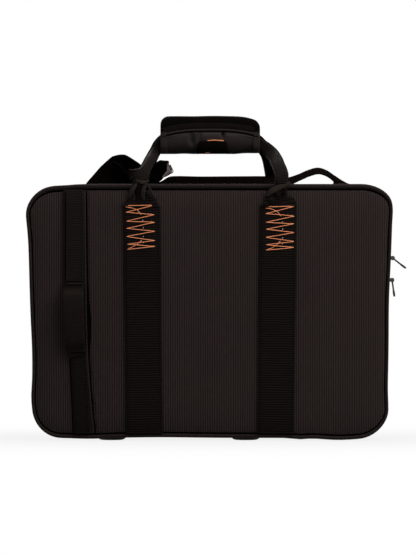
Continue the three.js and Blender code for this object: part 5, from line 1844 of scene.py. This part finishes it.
def recess_depth(x, z):
    """Depth of the insert's surface below its rim at a place."""
    deepest = 0
    for name, (left, right, bottom, top) in RECESS_SHARES.items():
        x0 = FOAM_LEFT - 2 * FOAM_LEFT * left + RECESS_WALL / 2
        x1 = FOAM_LEFT - 2 * FOAM_LEFT * right - RECESS_WALL / 2
        z0, z1 = FOAM_BOTTOM + FOAM_HEIGHT * bottom, FOAM_BOTTOM + FOAM_HEIGHT * top
        cx, cz, hx, hz = (x0 + x1) / 2, (z0 + z1) / 2, (x1 - x0) / 2, (z1 - z0) / 2
        round_part = WIDE_RADIUS if name in WIDE_RECESSES else min(hx, hz) * ROUND_SHARE
        dx, dz = abs(x - cx) - hx + round_part, abs(z - cz) - hz + round_part
        outside = math.hypot(max(dx, 0), max(dz, 0)) + min(max(dx, dz), 0) - round_part
        share = min(max((RECESS_SOFT - outside) / RECESS_RUN, 0), 1)
        deepest = max(deepest, RECESS_DEPTH * (1 - (1 - share) ** 2.6))
    return deepest


def foam_insert():
    """The plush insert: one surface that dips into each recess, with its sides and back."""
    back = BASE_DEPTH - CROWN_HEIGHT - PANEL_BACK - TRAY_FLOOR - 2 * TOUCH
    edge = outline(FOAM_INSET, 0)[:, [0, 2]]
    low, high = edge.min(0), edge.max(0)
    limits = outline(FOAM_INSET + FOAM_MARGIN, 0)[:, [0, 2]]
    grid = np.array([(x, z) for x in np.arange(low[0] + FOAM_MESH, high[0], FOAM_MESH)
                     for z in np.arange(low[1] + FOAM_MESH, high[1], FOAM_MESH)])
    a, b = limits, np.roll(limits, -1, 0)
    inside = np.zeros(len(grid), bool)
    for (x0, z0), (x1, z1) in zip(a, b):
        crosses = (z0 > grid[:, 1]) != (z1 > grid[:, 1])
        at = x0 + (grid[:, 1] - z0) * (x1 - x0) / (z1 - z0 if z1 != z0 else 1)
        inside ^= crosses & (grid[:, 0] < at)
    grid = grid[inside]
    flat = [Vector(p) for p in np.vstack([edge, grid])]
    count = len(edge)
    border = [(i, (i + 1) % count) for i in range(count)]
    points, _, faces, *_ = delaunay_2d_cdt(flat, border, [], 1, 1e-4)
    top = [(p.x, -(FOAM_TOP_DROP + recess_depth(p.x, p.y) + (FOAM_LIP if i < count else 0)), p.y)
           for i, p in enumerate(points)]
    shape = Shape().add(top, faces)
    shape.faces += [[(i + 1) % count, i, len(top) + i, len(top) + (i + 1) % count] for i in range(count)]
    shape.points += [(x, -back, z) for x, z in edge]
    shape.faces.append([len(top) + i for i in range(count)])
    shape.lay_flat()
    made = shape.make("insert_plush", plush_lining, "root", "foam", ["foam_insert"], 50)


# Where the pad's rows lie, in from its edge, and how it is rounded there and sewn in channels
PAD_RUNS = (0.6, 1.8, 3.6, 6, 9, 13, 18, 24, 32, 42, 54, 68, 84, 100, 112)
PAD_EDGE = 6
PAD_RISE = 5.6
PAD_ROUND = 9
CHANNEL_PITCH = 63


def lid_pad():
    """The soft pad in the lid, with sewn channels."""
    floor = LID_DEPTH - CROWN_HEIGHT - PANEL_BACK - TRAY_FLOOR - 2 * TOUCH
    face = floor - PAD_THICKNESS
    rows = [outline(FOAM_INSET, floor), outline(FOAM_INSET, face + PAD_EDGE)]
    for run in PAD_RUNS:
        rise = PAD_RISE * (1 - (1 - min(run / PAD_ROUND, 1)) ** 2)
        ring = outline(FOAM_INSET + run, 0)
        for point in ring:
            across = (point[0] + 3 * CHANNEL_PITCH) % CHANNEL_PITCH
            channel = humps(across, (CHANNEL_PITCH / 2, 2.2, 2.6)) if run > PAD_EDGE else 0
            point[1] = face + PAD_EDGE - rise + channel
        rows.append(ring)
    made = Shape().skin(rows).lay_flat().make("lid_pad_plush", plush_lining, "lid", "plush", ["lid_pad"], 50)


# Radii and heights of the foot's sole, from the middle of its dish to the rounded rim
FOOT_SOLE = ((0.2, 0.5), (6, 0.5), (7, 0), (10.4, 0), (12.2, 0.4), (13.8, 1.3), (14.6, 2.4))


def foot(name, node, body):
    """A moulded foot turned from a rounded profile, with a shallow dish beneath."""
    low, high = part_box(node)
    x = ((low.x + high.x) / 2 - MIDDLE_X) / MM
    y = (low.y + high.y) / 2 / MM
    radius = (high.x - low.x) / 2 / MM
    top = high.z / MM
    profile = [*FOOT_SOLE, (radius, 3.4), (radius, top), (FOOT_SOLE[0][0], top)]
    turn = np.linspace(0, 2 * math.pi, 40, endpoint=False)
    rows = [[(x + r * math.cos(a), y + r * math.sin(a), z) for a in turn] for r, z in profile]
    Shape().skin(rows).make(name, foot_rubber, body, "rubber", [node], 50)


# Operators


class CASE_OT_panels(Operator):
    """Padded panels, fabric sides and covered edge cords of both halves"""

    bl_idname = "case.panels"
    bl_label = "Panels and sides"

    def execute(self, context):
        for prefix, name, depth, sign, body in (("base", "front_panel", BASE_DEPTH, -1, "root"),
                                                ("lid", "rear_panel", LID_DEPTH, 1, "lid")):
            panel(name + "_cloth", name, depth, sign, body)
            gusset(prefix, depth, sign, body)
            piping(prefix, depth, sign, body)
        return {"FINISHED"}


ZIP_FITTINGS = ("slider_upper", "slider_lower", "pull_upper", "pull_lower", "pocket_slider", "pocket_pull")
FEET = {"near_left": "root", "near_right": "root", "far_left": "lid", "far_right": "lid"}


class CASE_OT_zip(Operator):
    """Zip tapes, coils, sliders and pulls, and the fabric hinge"""

    bl_idname = "case.zip"
    bl_label = "Zip and hinge"

    def execute(self, context):
        zip_half("base", -1, "root")
        zip_half("lid", 1, "lid")
        hinge_strip()
        for node in ZIP_FITTINGS:
            refined(node, dark_plated_metal, node)
        return {"FINISHED"}


class CASE_OT_bands(Operator):
    """Webbing bands on both panels, with their bar stitching, and the side hand loop"""

    bl_idname = "case.bands"
    bl_label = "Webbing bands"

    def execute(self, context):
        for face, depth, sign, body in (("front", BASE_DEPTH, -1, "root"), ("rear", LID_DEPTH, 1, "lid")):
            for side, direction in (("left", -1), ("right", 1)):
                node = f"{face}_strap_{side}"
                panel_band(node + "_webbing", node, depth, sign, lambda z: WEBBING_WIDTH / 2,
                           lambda z, s=sign, d=direction: d * (spread_at(z) - inset_of(s, d)),
                           STITCH_TOP, body, webbing_weave)
        for side in BARS:
            bar_stitching(side)
        panel_band("side_strap_webbing", "side_strap", BASE_DEPTH, -1, narrow_half, narrow_x,
                   BODY_TOP - PANEL_INSET - TOUCH, "root", narrow_weave)
        seam_strip()
        hand_loop()
        return {"FINISHED"}


class CASE_OT_handle(Operator):
    """Carrying loops and the padded wrap round them"""

    bl_idname = "case.handle"
    bl_label = "Handle"

    def execute(self, context):
        carrying_loop("front_loop_webbing", "front_handle_loop", BASE_DEPTH, -1, "root", webbing_weave)
        root_pleats()
        carrying_loop("rear_loop_webbing", "rear_handle_loop", LID_DEPTH, 1, "lid", shade_weave)
        handle_wrap()
        return {"FINISHED"}


class CASE_OT_pocket(Operator):
    """Rear pocket with its hinged panel"""

    bl_idname = "case.pocket"
    bl_label = "Rear pocket"

    def execute(self, context):
        pocket()
        return {"FINISHED"}


class CASE_OT_strap(Operator):
    """Ring tabs, rings, hooks, shoulder strap and adjuster"""

    bl_idname = "case.strap"
    bl_label = "Shoulder strap"

    def execute(self, context):
        for side, direction in (("left", -1), ("right", 1)):
            ring_tab(side, direction)
            refined(f"d_ring_{side}", plated_metal, "lid", bevel=0, levels=2)
            refined(f"hook_{side}", plated_metal, "lid", bevel=0.4)
            refined(f"hook_gate_{side}", plated_metal, f"hook_gate_{side}", bevel=0.3)
        shoulder_strap()
        refined("strap_adjuster", plated_metal, "strap_adjuster", bevel=0.3)
        return {"FINISHED"}


class CASE_OT_inside(Operator):
    """Lined trays, plush insert and lid pad"""

    bl_idname = "case.inside"
    bl_label = "Inside"

    def execute(self, context):
        for node in ("base_tray", "lid_tray"):
            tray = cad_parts[node]
            tray.data.materials.clear()
            tray.data.materials.append(moulded_tray())
        foam_insert()
        lid_pad()
        return {"FINISHED"}


class CASE_OT_feet(Operator):
    """Moulded feet"""

    bl_idname = "case.feet"
    bl_label = "Feet"

    def execute(self, context):
        for place, body in FEET.items():
            foot(f"{place}_moulded_foot", f"foot_{place}", body)
        return {"FINISHED"}


def lamp(name, place, target, power, size):
    """A soft square lamp that faces a point."""
    data = bpy.data.lights.new(name, "AREA")
    data.energy = power
    data.size = size
    made = bpy.data.objects.new(name, data)
    made.location = place
    made.rotation_euler = (Vector(target) - Vector(place)).to_track_quat("-Z", "Y").to_euler()
    bpy.context.scene.collection.objects.link(made)


# The lamps, in metres: the stage's value that holds the power, the place and the width
LAMPS = {
    "key_lamp": ("key_power", (0.85, -0.8, 0.95), 1.1),
    "fill_lamp": ("fill_power", (-0.6, -1.7, 0.9), 0.35),
    "top_lamp": ("top_power", (0.1, -0.35, 1.5), 0.9),
    "rear_lamp": ("rear_power", (-0.6, 2.1, 1.1), 1.4),
}
AIM = (0, 0, 0.16)
SENSOR_WIDTH = 36
FAR_CLIP = 50
FLOOR_HALF = 12
WHITE = (1, 1, 1, 1)
FLOOR_GREY = (0.28, 0.28, 0.28, 1)
# How much of the floor's own shading is kept under the case, and how far it reaches, squared, in metres
SHADOW_SHARE = 0.15
SHADOW_ACROSS = 0.12
SHADOW_DEEP = 0.05


def floor_paper():
    """White to the camera and in reflections. Near the case a share of true shading is kept, which holds the
    shadow."""
    made = Look("floor_paper")
    made.set(Base_Color=FLOOR_GREY, Roughness=0.9, Specular_IOR_Level=0)
    parts = made.node("ShaderNodeSeparateXYZ", None, {"Vector": made.place()})
    x, y = made.out(parts, "X"), made.out(parts, "Y")
    away = x * x / SHADOW_ACROSS + y * y / SHADOW_DEEP
    keep = SHADOW_SHARE / (1 + away * away)
    glow = made.node("ShaderNodeEmission", None, {"Color": WHITE, "Strength": 1})
    made.feed(made.output, {"Surface": made.mixed(made.seen() * (1 - keep), made.surface, glow)})
    return made.material


def studio(strength):
    """A world that is white to the camera and lights the case evenly."""
    world = bpy.data.worlds.new("studio")
    made = Nodes(world)
    soft = made.node("ShaderNodeBackground", None,
                     {"Color": (*colours().surroundings, 1), "Strength": strength})
    white = made.node("ShaderNodeBackground", None, {"Color": WHITE, "Strength": 1})
    made.node("ShaderNodeOutputWorld", None, {"Surface": made.mixed(made.seen(), soft, white)})
    return world


class CASE_OT_stage(Operator):
    """Camera, lamps, pale floor and world"""

    bl_idname = "case.stage"
    bl_label = "Stage"

    def execute(self, context):
        scene = bpy.context.scene
        stage = scene.case_stage
        data = bpy.data.cameras.new("camera")
        data.sensor_width = SENSOR_WIDTH
        data.lens = data.sensor_width * stage.distance / stage.view_height
        data.clip_end = FAR_CLIP
        camera = bpy.data.objects.new("camera", data)
        camera.location = (stage.middle, -BASE_DEPTH * MM - stage.distance, stage.height)
        camera.rotation_euler = (math.radians(90), 0, 0)
        scene.collection.objects.link(camera)
        scene.camera = camera
        for name, (power, place, size) in LAMPS.items():
            lamp(name, place, AIM, getattr(stage, power), size)
        mesh = bpy.data.meshes.new("floor")
        corners = ((-1, -1), (1, -1), (1, 1), (-1, 1))
        mesh.from_pydata([(x * FLOOR_HALF, y * FLOOR_HALF, 0) for x, y in corners], [], [(0, 1, 2, 3)])
        floor = bpy.data.objects.new("floor", mesh)
        scene.collection.objects.link(floor)
        floor.data.materials.append(floor_paper())
        scene.world = studio(stage.world_strength)
        scene.view_settings.view_transform = "Standard"
        return {"FINISHED"}


PIECES = (CASE_OT_panels, CASE_OT_zip, CASE_OT_bands, CASE_OT_handle, CASE_OT_pocket, CASE_OT_strap,
          CASE_OT_inside, CASE_OT_feet)
OPERATORS = (CASE_OT_stage, *PIECES)


class CASE_PT_dressing(Panel):
    """Lists the dressing operators and their settings"""

    bl_idname = "CASE_PT_dressing"
    bl_label = "Clarinet case"
    bl_space_type = "VIEW_3D"
    bl_region_type = "UI"
    bl_category = "Clarinet case"

    def draw(self, context):
        for operator in OPERATORS:
            self.layout.operator(operator.bl_idname)
        for group in (context.scene.case_sizes, context.scene.case_colours, context.scene.case_stage):
            for name in group.bl_rna.properties.keys():
                if name not in ("rna_type", "name"):
                    self.layout.prop(group, name)


GROUPS = {"case_sizes": CaseSizes, "case_colours": CaseColours, "case_stage": CaseStage}
CLASSES = (*GROUPS.values(), *OPERATORS, CASE_PT_dressing)


def register():
    for kind in CLASSES:
        bpy.utils.register_class(kind)
    for name, group in GROUPS.items():
        setattr(bpy.types.Scene, name, PointerProperty(type=group))


def unregister():
    for name in GROUPS:
        delattr(bpy.types.Scene, name)
    for kind in reversed(CLASSES):
        bpy.utils.unregister_class(kind)


def main():
    register()
    for operator in OPERATORS:
        group, name = operator.bl_idname.split(".")
        getattr(getattr(bpy.ops, group), name)()


if __name__ == "__main__":
    main()
